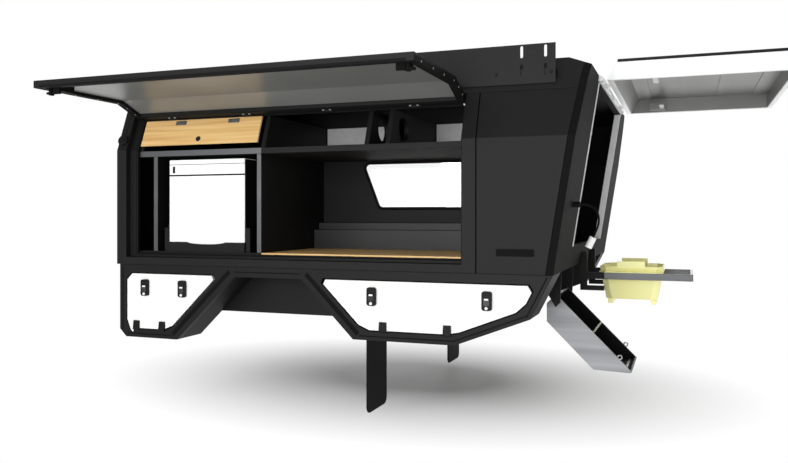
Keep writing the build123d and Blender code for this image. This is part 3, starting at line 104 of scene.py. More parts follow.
def linear(hex_colour: str) -> tuple[float, float, float, float]:
    """Turns an sRGB hex colour into linear RGBA.

    Args:
        hex_colour: Six hex digits.

    Returns:
        Red, green, blue and alpha as Blender's sockets take them.
    """
    channels = [int(hex_colour[i : i + 2], 16) / 255 for i in (0, 2, 4)]
    red, green, blue = (c / 12.92 if c <= 0.04045 else ((c + 0.055) / 1.055) ** 2.4 for c in channels)
    return (red, green, blue, 1.0)


def node(tree: bpy.types.NodeTree, kind: str, inputs: dict | None = None, **settings: object) -> bpy.types.Node:
    """Adds a node with its settings and links.

    Args:
        tree: The tree that gets the node.
        kind: Blender's node type.
        inputs: Input name or number to a value, or to the socket that feeds it.
        settings: Properties of the node itself.

    Returns:
        The new node.
    """
    made = tree.nodes.new(kind)
    for name, value in settings.items():
        setattr(made, name, value)
    for name, value in (inputs or {}).items():
        if isinstance(value, bpy.types.NodeSocket):
            tree.links.new(value, made.inputs[name])
        else:
            made.inputs[name].default_value = value
    return made


# ---------------------------------------------------------------- finishes


class Grain(Enum):
    """How a finish's pattern is drawn out: evenly, or along the body."""

    EVEN = (1.0, 1.0, 1.0)
    ALONG_X = (0.04, 1.0, 1.0)


# Where the tones lie on the range of the noise, and how strongly the relief shows
TONE_START, TONE_SPAN = 0.3, 0.4
RELIEF_STRENGTH = 0.6


@dataclass(frozen=True)
class Finish:
    """A material with two close tones, a fine relief and a roughness that varies a little.

    Attributes:
        name: What the material is.
        tones: Two or three sRGB hex tones, from the darkest.
        roughness: Mean roughness.
        relief_mm: Size of one grain of the fine relief.
        height_mm: Height of that relief.
        patch_mm: Size of the slow change of tone.
        spread: How far roughness swings either way.
        grain: Direction of the pattern.
        metallic: Share of metal.
        ior: Index of refraction.
        transmission: Share of light that passes through.
    """

    name: str
    tones: tuple[str, ...]
    roughness: float
    relief_mm: float
    height_mm: float
    patch_mm: float = 260.0
    spread: float = 0.05
    grain: Grain = Grain.EVEN
    metallic: float = 0.0
    ior: float = 1.5
    transmission: float = 0.0

    def material(self) -> bpy.types.Material:
        """Builds the material's nodes.

        Returns:
            The material, named for what it is.
        """
        made = bpy.data.materials.new(self.name)
        made.use_nodes = True
        tree = made.node_tree
        tree.nodes.clear()
        place = node(tree, "ShaderNodeTexCoord").outputs["Object"]
        drawn = node(tree, "ShaderNodeMapping", {"Vector": place, "Scale": self.grain.value}).outputs[0]
        patches = node(
            tree, "ShaderNodeTexNoise", {"Vector": drawn, "Scale": 1 / (self.patch_mm * MM), "Detail": 4.0}
        ).outputs[0]
        relief = node(
            tree, "ShaderNodeTexNoise", {"Vector": drawn, "Scale": 1 / (self.relief_mm * MM), "Detail": 2.0}
        ).outputs[0]
        tone = node(tree, "ShaderNodeValToRGB", {"Fac": patches})
        ramp = tone.color_ramp
        for _ in self.tones[2:]:
            ramp.elements.new(0.5)
        for step, (element, colour) in enumerate(zip(ramp.elements, self.tones)):
            element.position = TONE_START + TONE_SPAN * step / (len(self.tones) - 1)
            element.color = linear(colour)
        rough = node(
            tree,
            "ShaderNodeMapRange",
            {"Value": relief, "To Min": self.roughness - self.spread, "To Max": self.roughness + self.spread},
        ).outputs[0]
        bump = node(
            tree, "ShaderNodeBump", {"Height": relief, "Strength": RELIEF_STRENGTH, "Distance": self.height_mm * MM}
        ).outputs[0]
        shader = node(
            tree,
            "ShaderNodeBsdfPrincipled",
            {
                "Base Color": tone.outputs[0],
                "Roughness": rough,
                "Normal": bump,
                "Metallic": self.metallic,
                "IOR": self.ior,
                "Transmission Weight": self.transmission,
            },
        )
        node(tree, "ShaderNodeOutputMaterial", {"Surface": shader.outputs[0]})
        return made


# A grain finer than a millimetre or two doesn't show at the render's scale, so every relief is drawn that coarse.

# Powder coat on composite panels: near black, an orange-peel grain of a few millimetres that softens every reflection
PANEL_COAT = Finish("black_powder_coat_panel", ("0b0b0b", "0f0f0f"), 0.58, 3.0, 0.10, 420.0, ior=1.31)
# The same coat on welded steel, a little glossier over sharp folded edges
STEEL_COAT = Finish("black_powder_coat_steel", ("070707", "0a0a0a"), 0.52, 3.0, 0.08, 300.0, ior=1.30)
# Textured coat on the rear face round the opening and on the latches: deep black, no gloss
FACE_COAT = Finish("black_textured_coat", ("040404", "070707"), 0.75, 2.0, 0.08, 160.0, ior=1.22)
# Stucco-faced liner sheet inside the hatches: pale grey with a dull metallic bloom
LINER = Finish("grey_liner_sheet", ("757673", "8b8c89"), 0.36, 5.0, 0.12, 700.0, metallic=0.35)
# High-pressure laminate on the cabinet boards: dark charcoal, dead matt
LAMINATE = Finish("charcoal_laminate_board", ("090909", "0d0d0d"), 0.60, 2.5, 0.06, 350.0, ior=1.34)
# Lighter laminate on the ledge under the window: mid grey, matt
GREY_LAMINATE = Finish("grey_laminate_board", ("131314", "19191a"), 0.52, 2.5, 0.06, 350.0)
# Pale grey sheet on the lockers' back wall: painted light, its pale tone stands in for light on the shaded wall; soft
# and dull
LOCKER_PAINTED_LIGHT = Finish("pale_grey_painted_light", ("dcdcdd", "e8e8e9"), 0.85, 1.6, 0.05, 40.0, 0.4)
# Extruded edge profile in clear anodised aluminium, grey and satin
EDGE_PROFILE = Finish(
    "anodised_aluminium_profile", ("58595a", "66676a"), 0.38, 2.0, 0.03, 120.0, grain=Grain.ALONG_X, metallic=0.8
)
# Bamboo-faced plywood: honey tones in long narrow strips under a thin oil
BAMBOO = Finish("oiled_bamboo_plywood", ("d0a05e", "e4ba7a", "ecc88a"), 0.42, 9.0, 0.05, 16.0, 0.06, Grain.ALONG_X)
# Stove-enamelled aluminium door skins: clean white with a slight gloss
DOOR_ENAMEL = Finish("white_enamel_door", ("e2e2e0", "eaeae8"), 0.34, 4.0, 0.03, 500.0)
# Polypropylene fridge shell: white, faintly grained
FRIDGE_SHELL = Finish("white_polypropylene_shell", ("f0f0ef", "f8f8f7"), 0.38, 2.0, 0.05, 300.0)
# Mill-finish aluminium sheet: rolled along its length, cool grey with long fine streaks
MILL_SHEET = Finish(
    "mill_finish_aluminium", ("6a6c6e", "7c7e80", "8a8c8e"), 0.42, 14.0, 0.03, 60.0, 0.08, Grain.ALONG_X, 0.85
)
# Lacquered aluminium of the rear hatch's frame, its trim and the gussets: bright white, smooth, with some gloss
RIM_LACQUER = Finish("white_lacquered_aluminium", ("e2e3e4", "f0f1f1"), 0.30, 4.0, 0.02, 400.0)
# Injection-moulded polypropylene: pale lime, softly glossy
LIME_TUB = Finish("lime_polypropylene", ("fbf7a6", "fffcb6"), 0.36, 3.0, 0.06, 200.0)
# Rubber sheet and seals: black, dull, faintly chalky
RUBBER = Finish("black_rubber", ("060606", "0a0a0a"), 0.76, 2.0, 0.10, 120.0, ior=1.26)
# Glass-filled nylon handles and hinges: black, even moulded texture
NYLON = Finish("black_nylon", ("070707", "0b0b0b"), 0.55, 1.6, 0.08, 90.0, ior=1.28)
# Zinc-plated steel fasteners and hinge leaves: light grey with a soft sheen
ZINC = Finish("zinc_plated_steel", ("8d8f91", "a9abad"), 0.34, 2.0, 0.02, 40.0, metallic=0.9)
# Stainless bar of the tub frame, ground along its length: dark satin grey
BAR_STEEL = Finish("satin_stainless_bar", ("505152", "5e5f60"), 0.42, 6.0, 0.02, 60.0, 0.06, Grain.ALONG_X, 0.7)
# Cast acrylic pane: clear, with sharp reflections
ACRYLIC = Finish("clear_acrylic", ("fbfcfc", "ffffff"), 0.03, 60.0, 0.0, 400.0, 0.01, ior=1.49, transmission=1.0)
# Moulded ABS of the paddles' levers, the finger hole's rim and the control slot: black with a high gloss
GLOSS_BLACK = Finish("black_abs_gloss", ("1a1a1a", "202020"), 0.16, 4.0, 0.01, 200.0)
# Moulded ABS of the plug and the paddles' dots: white, half gloss
PLUG_WHITE = Finish("white_abs", ("dcdcda", "e8e8e6"), 0.35, 2.0, 0.04, 60.0)


def sided(*names: str) -> tuple[str, ...]:
    """The left and the right node of each name."""
    return tuple(f"{name}_{side}" for name in names for side in ("left", "right"))


DOORS = sided("lower_door_front", "lower_door_rear")
DOOR_FITTINGS = sided("door_fittings_front", "door_fittings_rear")
SHELL_SIDES = sided("side_frame", "rear_quarter", "side_hatch")
LOWER_SIDES = sided("lower_frame", "lower_boxes")
ROOF_PLATES = sided("roof_plate")

NODE_FINISHES: dict[Finish, tuple[str, ...]] = {
    PANEL_COAT: ("front_wall", "roof_cap", *SHELL_SIDES, "rear_hatch_skin"),
    FACE_COAT: ("rear_frame", *sided("hatch_latches")),
    STEEL_COAT: (
        "subframe", "floor_panel", *LOWER_SIDES, "tail_hangers", "sink_brackets", *ROOF_PLATES, "mud_hangers",
        "fridge_tray", "fridge_slides", "hatch_hinges", "wheel_liners",
    ),
    DOOR_ENAMEL: DOORS,
    LAMINATE: (
        "galley_back", "galley_partitions", "locker_dividers", "locker_rail", "locker_shelf", "galley_base",
    ),
    GREY_LAMINATE: ("galley_ledge",),
    BAMBOO: ("galley_board", "locker_flap"),
    FRIDGE_SHELL: ("fridge",),
    MILL_SHEET: ("tail_tray",),
    BAR_STEEL: ("sink_frame",),
    RIM_LACQUER: ("rear_hatch_rim", "rear_trim", "rear_hinge"),
    ZINC: ("roof_rings",),
    LIME_TUB: ("sink_tub",),
    RUBBER: ("mudflaps", "lead_gland", "lead_cable"),
    NYLON: (*DOOR_FITTINGS, *sided("side_marker")),
    ACRYLIC: ("galley_window",),
    PLUG_WHITE: ("lead_plug",),
}

# Nodes whose edges catch the light, with the width of the rounding in millimetres
ROUNDED_NODES: dict[float, tuple[str, ...]] = {
    2.5: ("front_wall", "roof_cap", "rear_frame", *SHELL_SIDES, "sink_tub"),
    1.5: (
        *LOWER_SIDES, *DOORS, *ROOF_PLATES, "rear_hatch_rim", "rear_hatch_skin", "tail_tray", "tail_hangers",
        "sink_brackets", "sink_frame", "mud_hangers", "mudflaps", "fridge_tray", "fridge_slides",
        *sided("hatch_latches", "side_marker"), *DOOR_FITTINGS, "subframe",
    ),
    1.0: (
        "galley_base", "galley_board", "galley_ledge", "galley_partitions", "locker_shelf", "locker_rail",
        "locker_dividers", "locker_flap",
    ),
}


# ---------------------------------------------------------------- mesh and node tools


def prism(mesh: bmesh.types.BMesh, outline: Sequence[Vector], along: Vector) -> None:
    """Adds a closed prism.

    Args:
        mesh: The mesh that gets it.
        outline: Corners of one end, in order.
        along: From that end to the other.
    """
    near = [mesh.verts.new(corner) for corner in outline]
    far = [mesh.verts.new(Vector(corner) + along) for corner in outline]
    mesh.faces.new(near)
    mesh.faces.new(reversed(far))
    count = len(near)
    for i in range(count):
        j = (i + 1) % count
        mesh.faces.new((near[j], near[i], far[i], far[j]))


def box(mesh: bmesh.types.BMesh, stations: Pair, sides: Pair, heights: Pair) -> None:
    """Adds a box, from sizes in millimetres.

    Args:
        mesh: The mesh that gets it.
        stations: Its front and rear.
        sides: Its left and right.
        heights: Its foot and top.
    """
    (front, rear), (left, right), (foot, top) = stations, sides, heights
    corners = ((front, left), (rear, left), (rear, right), (front, right))
    prism(mesh, [spot(station, side, foot) for station, side in corners], Vector((0, 0, (top - foot) * MM)))


def rounded(width: float, height: float, radius: float, steps: int = 5) -> list[Pair]:
    """Outline of a rounded rectangle about its middle.

    Args:
        width: Full width.
        height: Full height.
        radius: Corner radius.
        steps: Points on each corner.

    Returns:
        Points in order round the outline.
    """
    points = []
    for turn, (sx, sy) in enumerate(((1, 1), (-1, 1), (-1, -1), (1, -1))):
        for step in range(steps):
            angle = math.radians(90 * (turn + step / (steps - 1)))
            x = sx * (width / 2 - radius) + radius * math.cos(angle)
            points.append((x, sy * (height / 2 - radius) + radius * math.sin(angle)))
    return points


def pad(mesh: bmesh.types.BMesh, middle: Triple, size: Triple, along: float) -> None:
    """Adds an upright plate with rounded corners, from sizes in millimetres.

    Args:
        mesh: The mesh that gets it.
        middle: Station, side and height of its first face's middle.
        size: Its width, height and corner radius.
        along: Its thickness along Y, negative to the left.
    """
    station, side, height = middle
    outline = [spot(station + x, side, height + z) for x, z in rounded(*size)]
    prism(mesh, outline, Vector((0, along * MM, 0)))


def absorb(mesh: bmesh.types.BMesh, grown: bpy.types.Mesh) -> None:
    """Moves a grown mesh into another mesh."""
    mesh.from_mesh(grown)
    bpy.data.meshes.remove(grown)


class Grower:
    """Geometry Nodes trees for what repeats or follows a path, and the meshes grown from them."""

    crown_share = 0.68
    head_sides = 12
    bead_sides = 10
    corner_points = 6

    def __init__(self) -> None:
        """Builds the trees once."""
        self.fasteners = self._fastener_tree()
        self.bead = self._bead_tree()
        self.slats = self._slat_tree()

    @staticmethod
    def _tree(name: str, sockets: Iterable[tuple[str, str]]) -> tuple[bpy.types.NodeTree, bpy.types.Node]:
        """Starts a tree with named inputs.

        Args:
            name: The tree's name.
            sockets: Input names and socket types.

        Returns:
            The tree and its input node.
        """
        tree = bpy.data.node_groups.new(name, "GeometryNodeTree")
        for label, kind in sockets:
            tree.interface.new_socket(label, in_out="INPUT", socket_type=kind)
        tree.interface.new_socket("Geometry", in_out="OUTPUT", socket_type="NodeSocketGeometry")
        return tree, node(tree, "NodeGroupInput")

    @staticmethod
    def _close(tree: bpy.types.NodeTree, shape: bpy.types.NodeSocket, finish: bpy.types.NodeSocket) -> None:
        """Ends a tree in Realize Instances and Set Material.

        Args:
            tree: The tree.
            shape: The socket that holds what was grown.
            finish: The socket that holds its material.
        """
        real = node(tree, "GeometryNodeRealizeInstances", {"Geometry": shape})
        dressed = node(tree, "GeometryNodeSetMaterial", {"Geometry": real.outputs[0], "Material": finish})
        node(tree, "NodeGroupOutput", {"Geometry": dressed.outputs[0]})

    def _row_tree(self, name: str, *sizes: tuple[str, str]) -> tuple[bpy.types.NodeTree, bpy.types.Node]:
        """Starts a tree that repeats a shape along a line.

        Args:
            name: The tree's name.
            sizes: Input names and socket types of the shape's sizes.

        Returns:
            The tree and its input node.
        """
        row = (("Start", "NodeSocketVector"), ("Step", "NodeSocketVector"), ("Count", "NodeSocketInt"))
        return self._tree(name, (*row, *sizes, ("Turn", "NodeSocketVector"), ("Finish", "NodeSocketMaterial")))

    def _repeat(self, tree: bpy.types.NodeTree, given: bpy.types.Node, shape: bpy.types.Node) -> None:
        """Sets a shape at each point of the line and ends the tree.

        Args:
            tree: A tree that _row_tree started.
            given: Its input node.
            shape: The node that makes the shape.
        """
        count, start, step = (given.outputs[name] for name in ("Count", "Start", "Step"))
        ends = {"Count": count, "Start Location": start, "Offset": step}
        line = node(tree, "GeometryNodeMeshLine", ends, mode="OFFSET")
        turn = node(tree, "FunctionNodeEulerToRotation", {0: given.outputs["Turn"]})
        row = node(
            tree,
            "GeometryNodeInstanceOnPoints",
            {"Points": line.outputs[0], "Instance": shape.outputs[0], "Rotation": turn.outputs[0]},
        )
        self._close(tree, row.outputs[0], given.outputs["Finish"])

    def _fastener_tree(self) -> bpy.types.NodeTree:
        """Builds a row of button heads: a low cone frustum at each point of a line.

        Returns:
            The tree.
        """
        tree, given = self._row_tree("fastener_row", ("Radius", "NodeSocketFloat"), ("Height", "NodeSocketFloat"))
        radius, height = given.outputs["Radius"], given.outputs["Height"]
        crown = node(tree, "ShaderNodeMath", {0: radius, 1: self.crown_share}, operation="MULTIPLY")
        sizes = {"Radius Top": crown.outputs[0], "Radius Bottom": radius, "Depth": height}
        self._repeat(tree, given, node(tree, "GeometryNodeMeshCone", {"Vertices": self.head_sides, **sizes}))
        return tree

    def _slat_tree(self) -> bpy.types.NodeTree:
        """Builds a row of equal bars.

        Returns:
            The tree.
        """
        tree, given = self._row_tree("slat_row", ("Size", "NodeSocketVector"))
        self._repeat(tree, given, node(tree, "GeometryNodeMeshCube", {"Size": given.outputs["Size"]}))
        return tree

    def _bead_tree(self) -> bpy.types.NodeTree:
        """Builds a round bead along the edges of the base mesh, its corners filleted.

        Returns:
            The tree.
        """
        tree, given = self._tree(
            "edge_bead",
            (
                ("Path", "NodeSocketGeometry"),
                ("Radius", "NodeSocketFloat"),
                ("Corner", "NodeSocketFloat"),
                ("Finish", "NodeSocketMaterial"),
            ),
        )
        curve = node(tree, "GeometryNodeMeshToCurve", {"Mesh": given.outputs["Path"]}).outputs[0]
        corner = {"Radius": given.outputs["Corner"], "Limit Radius": True, "Count": self.corner_points}
        soft = node(tree, "GeometryNodeFilletCurve", {"Curve": curve, **corner}, mode="POLY").outputs[0]
        ring = {"Resolution": self.bead_sides, "Radius": given.outputs["Radius"]}
        profile = node(tree, "GeometryNodeCurvePrimitiveCircle", ring, mode="RADIUS").outputs[0]
        sweep = {"Curve": soft, "Profile Curve": profile, "Fill Caps": True}
        tube = node(tree, "GeometryNodeCurveToMesh", sweep).outputs[0]
        self._close(tree, tube, given.outputs["Finish"])
        return tree

    @staticmethod
    def grow(
        tree: bpy.types.NodeTree, values: dict[str, object], path: Sequence[Sequence[float]] = (), closed: bool = True
    ) -> bpy.types.Mesh:
        """Runs a tree and returns its result as a plain mesh.

        Args:
            tree: One of this class's trees.
            values: Input name to value.
            path: Corners of the path for a tree that follows one.
            closed: Whether the path comes back to its start.

        Returns:
            The grown mesh, which belongs to no object.
        """
        base = bpy.data.meshes.new(tree.name)
        count = len(path)
        runs = [(i, (i + 1) % count) for i in range(count if closed else count - 1)]
        base.from_pydata([tuple(p) for p in path], runs, [])
        carrier = bpy.data.objects.new(tree.name, base)
        bpy.context.scene.collection.objects.link(carrier)
        modifier = carrier.modifiers.new("grow", "NODES")
        modifier.node_group = tree
        for item in tree.interface.items_tree:
            if item.in_out == "INPUT" and item.name in values:
                modifier[item.identifier] = values[item.name]
        graph = bpy.context.evaluated_depsgraph_get()
        grown = bpy.data.meshes.new_from_object(carrier.evaluated_get(graph))
        carrier.modifiers.remove(modifier)
        bpy.data.objects.remove(carrier)
        bpy.data.meshes.remove(base)
        return grown


class Facing(Enum):
    """Which way a fastener's head points, as the Euler angles that take +Z there."""

    LEFT = (math.pi / 2, 0.0, 0.0)
    RIGHT = (-math.pi / 2, 0.0, 0.0)
    REAR = (0.0, math.pi / 2 + REAR_LEAN, 0.0)
    BACK = (0.0, math.pi / 2, 0.0)


class Workshop:
    """Holds the frame, the materials and the trees, and turns meshes into finished pieces."""

    merge = 1e-6
    cad_merge = 1e-5
    flat = math.radians(0.5)
    edge_angle = math.radians(35)
    edge_segments = 2

    def __init__(self, frame: dict) -> None:
        """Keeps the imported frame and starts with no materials.
        """
        self.nodes: dict[str, bpy.types.Object] = frame["nodes"]
        record = frame["record"]
        self.slots: dict[str, str] = {row["node"]: row["material_slot"] for row in record["subparts"]}
        self.homes: dict[str, str] = {
            name: body for body, names in record["behaviour"]["bodies"].items() for name in names
        }
        self.grower = Grower()
        self._materials: dict[Finish, bpy.types.Material] = {}

    def material(self, finish: Finish) -> bpy.types.Material:
        """Finds the one material of a finish, and makes it the first time.

        Args:
            finish: The finish.

        Returns:
            Its material.
        """
        if finish not in self._materials:
            self._materials[finish] = finish.material()
        return self._materials[finish]

    def dress_nodes(self) -> None:
        """Gives every CAD node its finish."""
        for finish, names in NODE_FINISHES.items():
            for name in names:
                shape = self.nodes[name]
                shape.data.materials.clear()
                shape.data.materials.append(self.material(finish))

    def round_edges(self) -> None:
        """Replaces flat-faced nodes by merged copies with rounded edges."""
        finishes = {name: finish for finish, names in NODE_FINISHES.items() for name in names}
        for width_mm, names in ROUNDED_NODES.items():
            for name in names:
                copy = bmesh.new()
                copy.from_mesh(self.nodes[name].data)
                bmesh.ops.remove_doubles(copy, verts=copy.verts, dist=self.cad_merge)
                bmesh.ops.dissolve_limit(copy, angle_limit=self.flat, verts=copy.verts, edges=copy.edges)
                made = self.piece(
                    f"{name}_rounded", copy, finishes[name], self.homes[name], width_mm
                )
                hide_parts(name)

    def piece(
        self, name: str, mesh: bmesh.types.BMesh, finish: Finish, body: str, bevel_mm: float = 0.0
    ) -> bpy.types.Object:
        """Makes a piece that rides on a body.

        Args:
            name: The piece's name.
            mesh: Its shape in the row frame; freed here.
            finish: Its material.
            body: The CAD body it moves with.
            bevel_mm: Width of its rounded edges, if any.

        Returns:
            The piece.
        """
        bmesh.ops.remove_doubles(mesh, verts=mesh.verts, dist=self.merge)
        bmesh.ops.recalc_face_normals(mesh, faces=mesh.faces)
        data = bpy.data.meshes.new(name)
        mesh.to_mesh(data)
        mesh.free()
        made = bpy.data.objects.new(name, data)
        bpy.context.scene.collection.objects.link(made)
        data.materials.clear()
        data.materials.append(self.material(finish))
        if bevel_mm:
            edge = made.modifiers.new("rounded_edges", "BEVEL")
            edge.width = bevel_mm * MM
            edge.segments = self.edge_segments
            edge.limit_method = "ANGLE"
            edge.angle_limit = self.edge_angle
            edge.harden_normals = True
        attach(made, body)
        LOG.info("%s: %d faces on %s", name, len(data.polygons), body)
        return made

    def rows(
        self, name: str, finish: Finish, body: str, slot: str, meshes: Sequence[bpy.types.Mesh]
    ) -> bpy.types.Object:
        """Joins grown meshes into one piece.

        Args:
            name: The piece's name.
            finish: Its material.
            body: The CAD body it moves with.
            slot: Not used.
            meshes: The grown meshes; freed here.

        Returns:
            The piece.
        """
        joined = bmesh.new()
        for grown in meshes:
            absorb(joined, grown)
        return self.piece(name, joined, finish, body)

    def bead(
        self, path: Sequence[Vector], radius_mm: float, corner_mm: float, finish: Finish, closed: bool = True
    ) -> bpy.types.Mesh:
        """Grows a round bead along a path.

        Args:
            path: The path's corners.
            radius_mm: Radius of the bead.
            corner_mm: Radius of its turns.
            finish: Its material.
            closed: Whether the path comes back to its start.

        Returns:
            The grown mesh.
        """
        values = {"Radius": radius_mm * MM, "Corner": corner_mm * MM, "Finish": self.material(finish)}
        return self.grower.grow(self.grower.bead, values, path, closed)

    def slats(
        self, start: Sequence[float], step: Sequence[float], count: int, size: Sequence[float], finish: Finish
    ) -> bpy.types.Mesh:
        """Grows a row of equal bars.

        Args:
            start: Middle of the first bar.
            step: From one bar to the next.
            count: Number of bars.
            size: A bar's size along each axis.
            finish: Their material.

        Returns:
            The grown mesh.
        """
        values = {"Start": tuple(start), "Step": tuple(step), "Count": count, "Size": tuple(size)}
        return self.grower.grow(self.grower.slats, {**values, "Finish": self.material(finish)})

    def heads(
        self, start: Sequence[float], step: Sequence[float], count: int, radius_mm: float, height_mm: float,
        facing: Facing, finish: Finish,
    ) -> bpy.types.Mesh:
        """Grows a row of fastener heads.

        Args:
            start: First head.
            step: From one head to the next.
            count: Number of heads.
            radius_mm: Head radius.
            height_mm: Head height.
            facing: Which way they point.
            finish: Their material.

        Returns:
            The grown mesh.
        """
        return self.grower.grow(
            self.grower.fasteners,
            {
                "Start": tuple(start), "Step": tuple(step), "Count": count, "Radius": radius_mm * MM,
                "Height": height_mm * MM, "Turn": facing.value, "Finish": self.material(finish),
            },
        )


# ---------------------------------------------------------------- sub-assemblies


@dataclass
class Sided:
    """Something that each side of the body has, drawn for the left."""

    left: bool

    @property
    def side(self) -> str:
        """The side's name."""
        return "left" if self.left else "right"

    def place(self, mesh: bmesh.types.BMesh) -> None:
        """Turns a left-hand mesh into its right-hand twin, if this is the right side."""
        if not self.left:
            bmesh.ops.transform(mesh, matrix=Matrix.Diagonal((1, -1, 1, 1)), verts=mesh.verts)


@dataclass
class SideHatch(Sided):
    """Liner, seal, screws, facing and catches of one side hatch, drawn closed and then swung up with it."""

    half: float = 1050.0
    crease: float = 562.0
    # Run and rise of the leaning part above the crease
    lean: Pair = (76.0, 200.0)
    top: float = 721.0
    foot: float = 42.0
    front: float = 61.0
    rear: float = 1765.0
    skin: float = 12.0
    depth: float = 30.0
    rim: float = 30.0
    liner: float = 4.0
    liner_gap: float = 3.0
    # The seal's insets from the front edge, from the rear edge, and from the foot and the top
    seal_insets: Triple = (13.0, 19.0, 24.0)
    seal_sink: float = 2.0
    seal_radius: float = 3.5
    seal_corner: float = 12.0
    # Side and height of the hinge's axis, in metres
    hinge: Pair = (-0.95958, 0.811)
    hinge_screws: tuple[float, ...] = (253.0, 674.7, 1096.3, 1518.0)
    hinge_screw_gap: float = 34.0
    hinge_screw_drop: float = 12.0
    hinge_screw_proud: float = 1.5
    # Radius and height of the screw heads
    hinge_screw_head: Pair = (6.5, 4.0)
    rim_screw_head: Pair = (4.0, 2.0)
    # Lowest height, spacing and count of the rim screws below and above the crease
    rim_screws: tuple[tuple[float, float, int], ...] = ((120.0, 140.0, 4), (605.0, 60.0, 2))
    rim_screw_inset: float = 6.0
    edge_screw_sink: float = 9.0
    facing: float = 0.8
    facing_inset: float = 3.0
    edge_depth: float = 10.0
    # Start and end of each catch's stem, and the tip of its finger, as stations
    catches: tuple[Triple, ...] = ((112.0, 126.0, 100.0), (1723.0, 1737.0, 1756.0))
    catch_heights: Pair = (72.9, 92.9)
    catch_depth: float = 60.0
    # How far short of the stem's end the finger's two faces lie
    finger: Pair = (14.0, 4.0)
    finger_lap: float = 1.0

    def outer(self, height: float) -> float:
        """Finds the outer skin of the closed hatch.

        Args:
            height: A height in millimetres.

        Returns:
            The skin's side at that height, in millimetres.
        """
        if height <= self.crease:
            return -self.half
        run, rise = self.lean
        return -self.half + run * (height - self.crease) / rise

    def point(self, station: float, depth: float, height: float) -> Vector:
        """A closed-position point from station, depth behind the skin and height."""
        return spot(station, self.outer(height) + depth, height)

    def build(self, shop: Workshop) -> None:
        """Adds this hatch's pieces.

        Args:
            shop: The workshop that makes them.
        """
        self._liner(shop)
        self._seal(shop)
        self._screws(shop)
        self._facings(shop)
        self._catches(shop)

    def _add(
        self, shop: Workshop, name: str, mesh: bmesh.types.BMesh, finish: Finish, slot: str, bevel_mm: float = 0.0
    ) -> None:
        """Turns a closed-position mesh to the open hatch and makes it a piece of this side's hatch.

        Args:
            shop: The workshop that makes the piece.
            name: The piece's name without its side.
            mesh: Its shape, closed and on the left.
            finish: Its material.
            slot: Not used.
            bevel_mm: Width of its rounded edges, if any.
        """
        pivot = Vector((0.0, *self.hinge))
        turn = Matrix.Translation(pivot) @ Matrix.Rotation(-math.pi / 2, 4, "X") @ Matrix.Translation(-pivot)
        bmesh.ops.transform(mesh, matrix=turn, verts=mesh.verts)
        self.place(mesh)
        shop.piece(f"{name}_{self.side}", mesh, finish, f"side_hatch_{self.side}", bevel_mm)

    def _sheet(self, mesh: bmesh.types.BMesh, stations: Pair, depths: Pair, heights: Sequence[float]) -> None:
        """Adds a sheet that follows the skin.

        Args:
            mesh: The mesh that gets it.
            stations: Its front and rear.
            depths: Its two faces, behind the skin.
            heights: Its foot and top, and the crease where it passes that.
        """
        start, end = stations
        profile = [self.point(start, depths[0], h) for h in heights]
        profile += [self.point(start, depths[1], h) for h in reversed(heights)]
        prism(mesh, profile, Vector(((end - start) * MM, 0, 0)))

    def _liner(self, shop: Workshop) -> None:
        """Adds the pale sheet inside the rim.

        Args:
            shop: The workshop that makes it.
        """
        edge = self.rim + self.liner_gap
        heights = (self.foot + edge, self.crease, self.top - edge)
        sheet = bmesh.new()
        self._sheet(sheet, (self.front + edge, self.rear - edge), (self.skin, self.skin + self.liner), heights)
        self._add(shop, "hatch_liner", sheet, LINER, "body_black", 1.5)

    def _seal(self, shop: Workshop) -> None:
        """Adds the rubber bead round the rim's inner face.

        Args:
            shop: The workshop that makes it.
        """
        front_inset, rear_inset, inset = self.seal_insets
        front, rear = self.front + front_inset, self.rear - rear_inset
        low, high = self.foot + inset, self.top - inset
        stops = ((front, low), (rear, low), (rear, self.crease), (rear, high), (front, high), (front, self.crease))
        path = [self.point(s, self.depth - self.seal_sink, h) for s, h in stops]
        bead = bmesh.new()
        absorb(bead, shop.bead(path, self.seal_radius, self.seal_corner, RUBBER))
        self._add(shop, "hatch_seal", bead, RUBBER, "rubber")

    def _screws(self, shop: Workshop) -> None:
        """Adds pairs of screws at the hinges, and rows along the front rim and the rear edge.

        Args:
            shop: The workshop that makes them.
        """
        screws = bmesh.new()
        pair = (self.hinge_screw_gap * MM, 0, 0)
        for station in self.hinge_screws:
            start = self.point(station, self.depth + self.hinge_screw_proud, self.top - self.hinge_screw_drop)
            absorb(screws, shop.heads(start, pair, 2, *self.hinge_screw_head, Facing.RIGHT, ZINC))
        for station, depth, facing in (
            (self.front + self.rim - self.rim_screw_inset, self.depth + self.facing, Facing.RIGHT),
            (self.rear + self.facing, self.depth - self.edge_screw_sink, Facing.BACK),
        ):
            for low, gap, count in self.rim_screws:
                start = self.point(station, depth, low)
                step = self.point(station, depth, low + gap) - start
                absorb(screws, shop.heads(start, step, count, *self.rim_screw_head, facing, ZINC))
        self._add(shop, "hatch_screws", screws, ZINC, "aluminium")

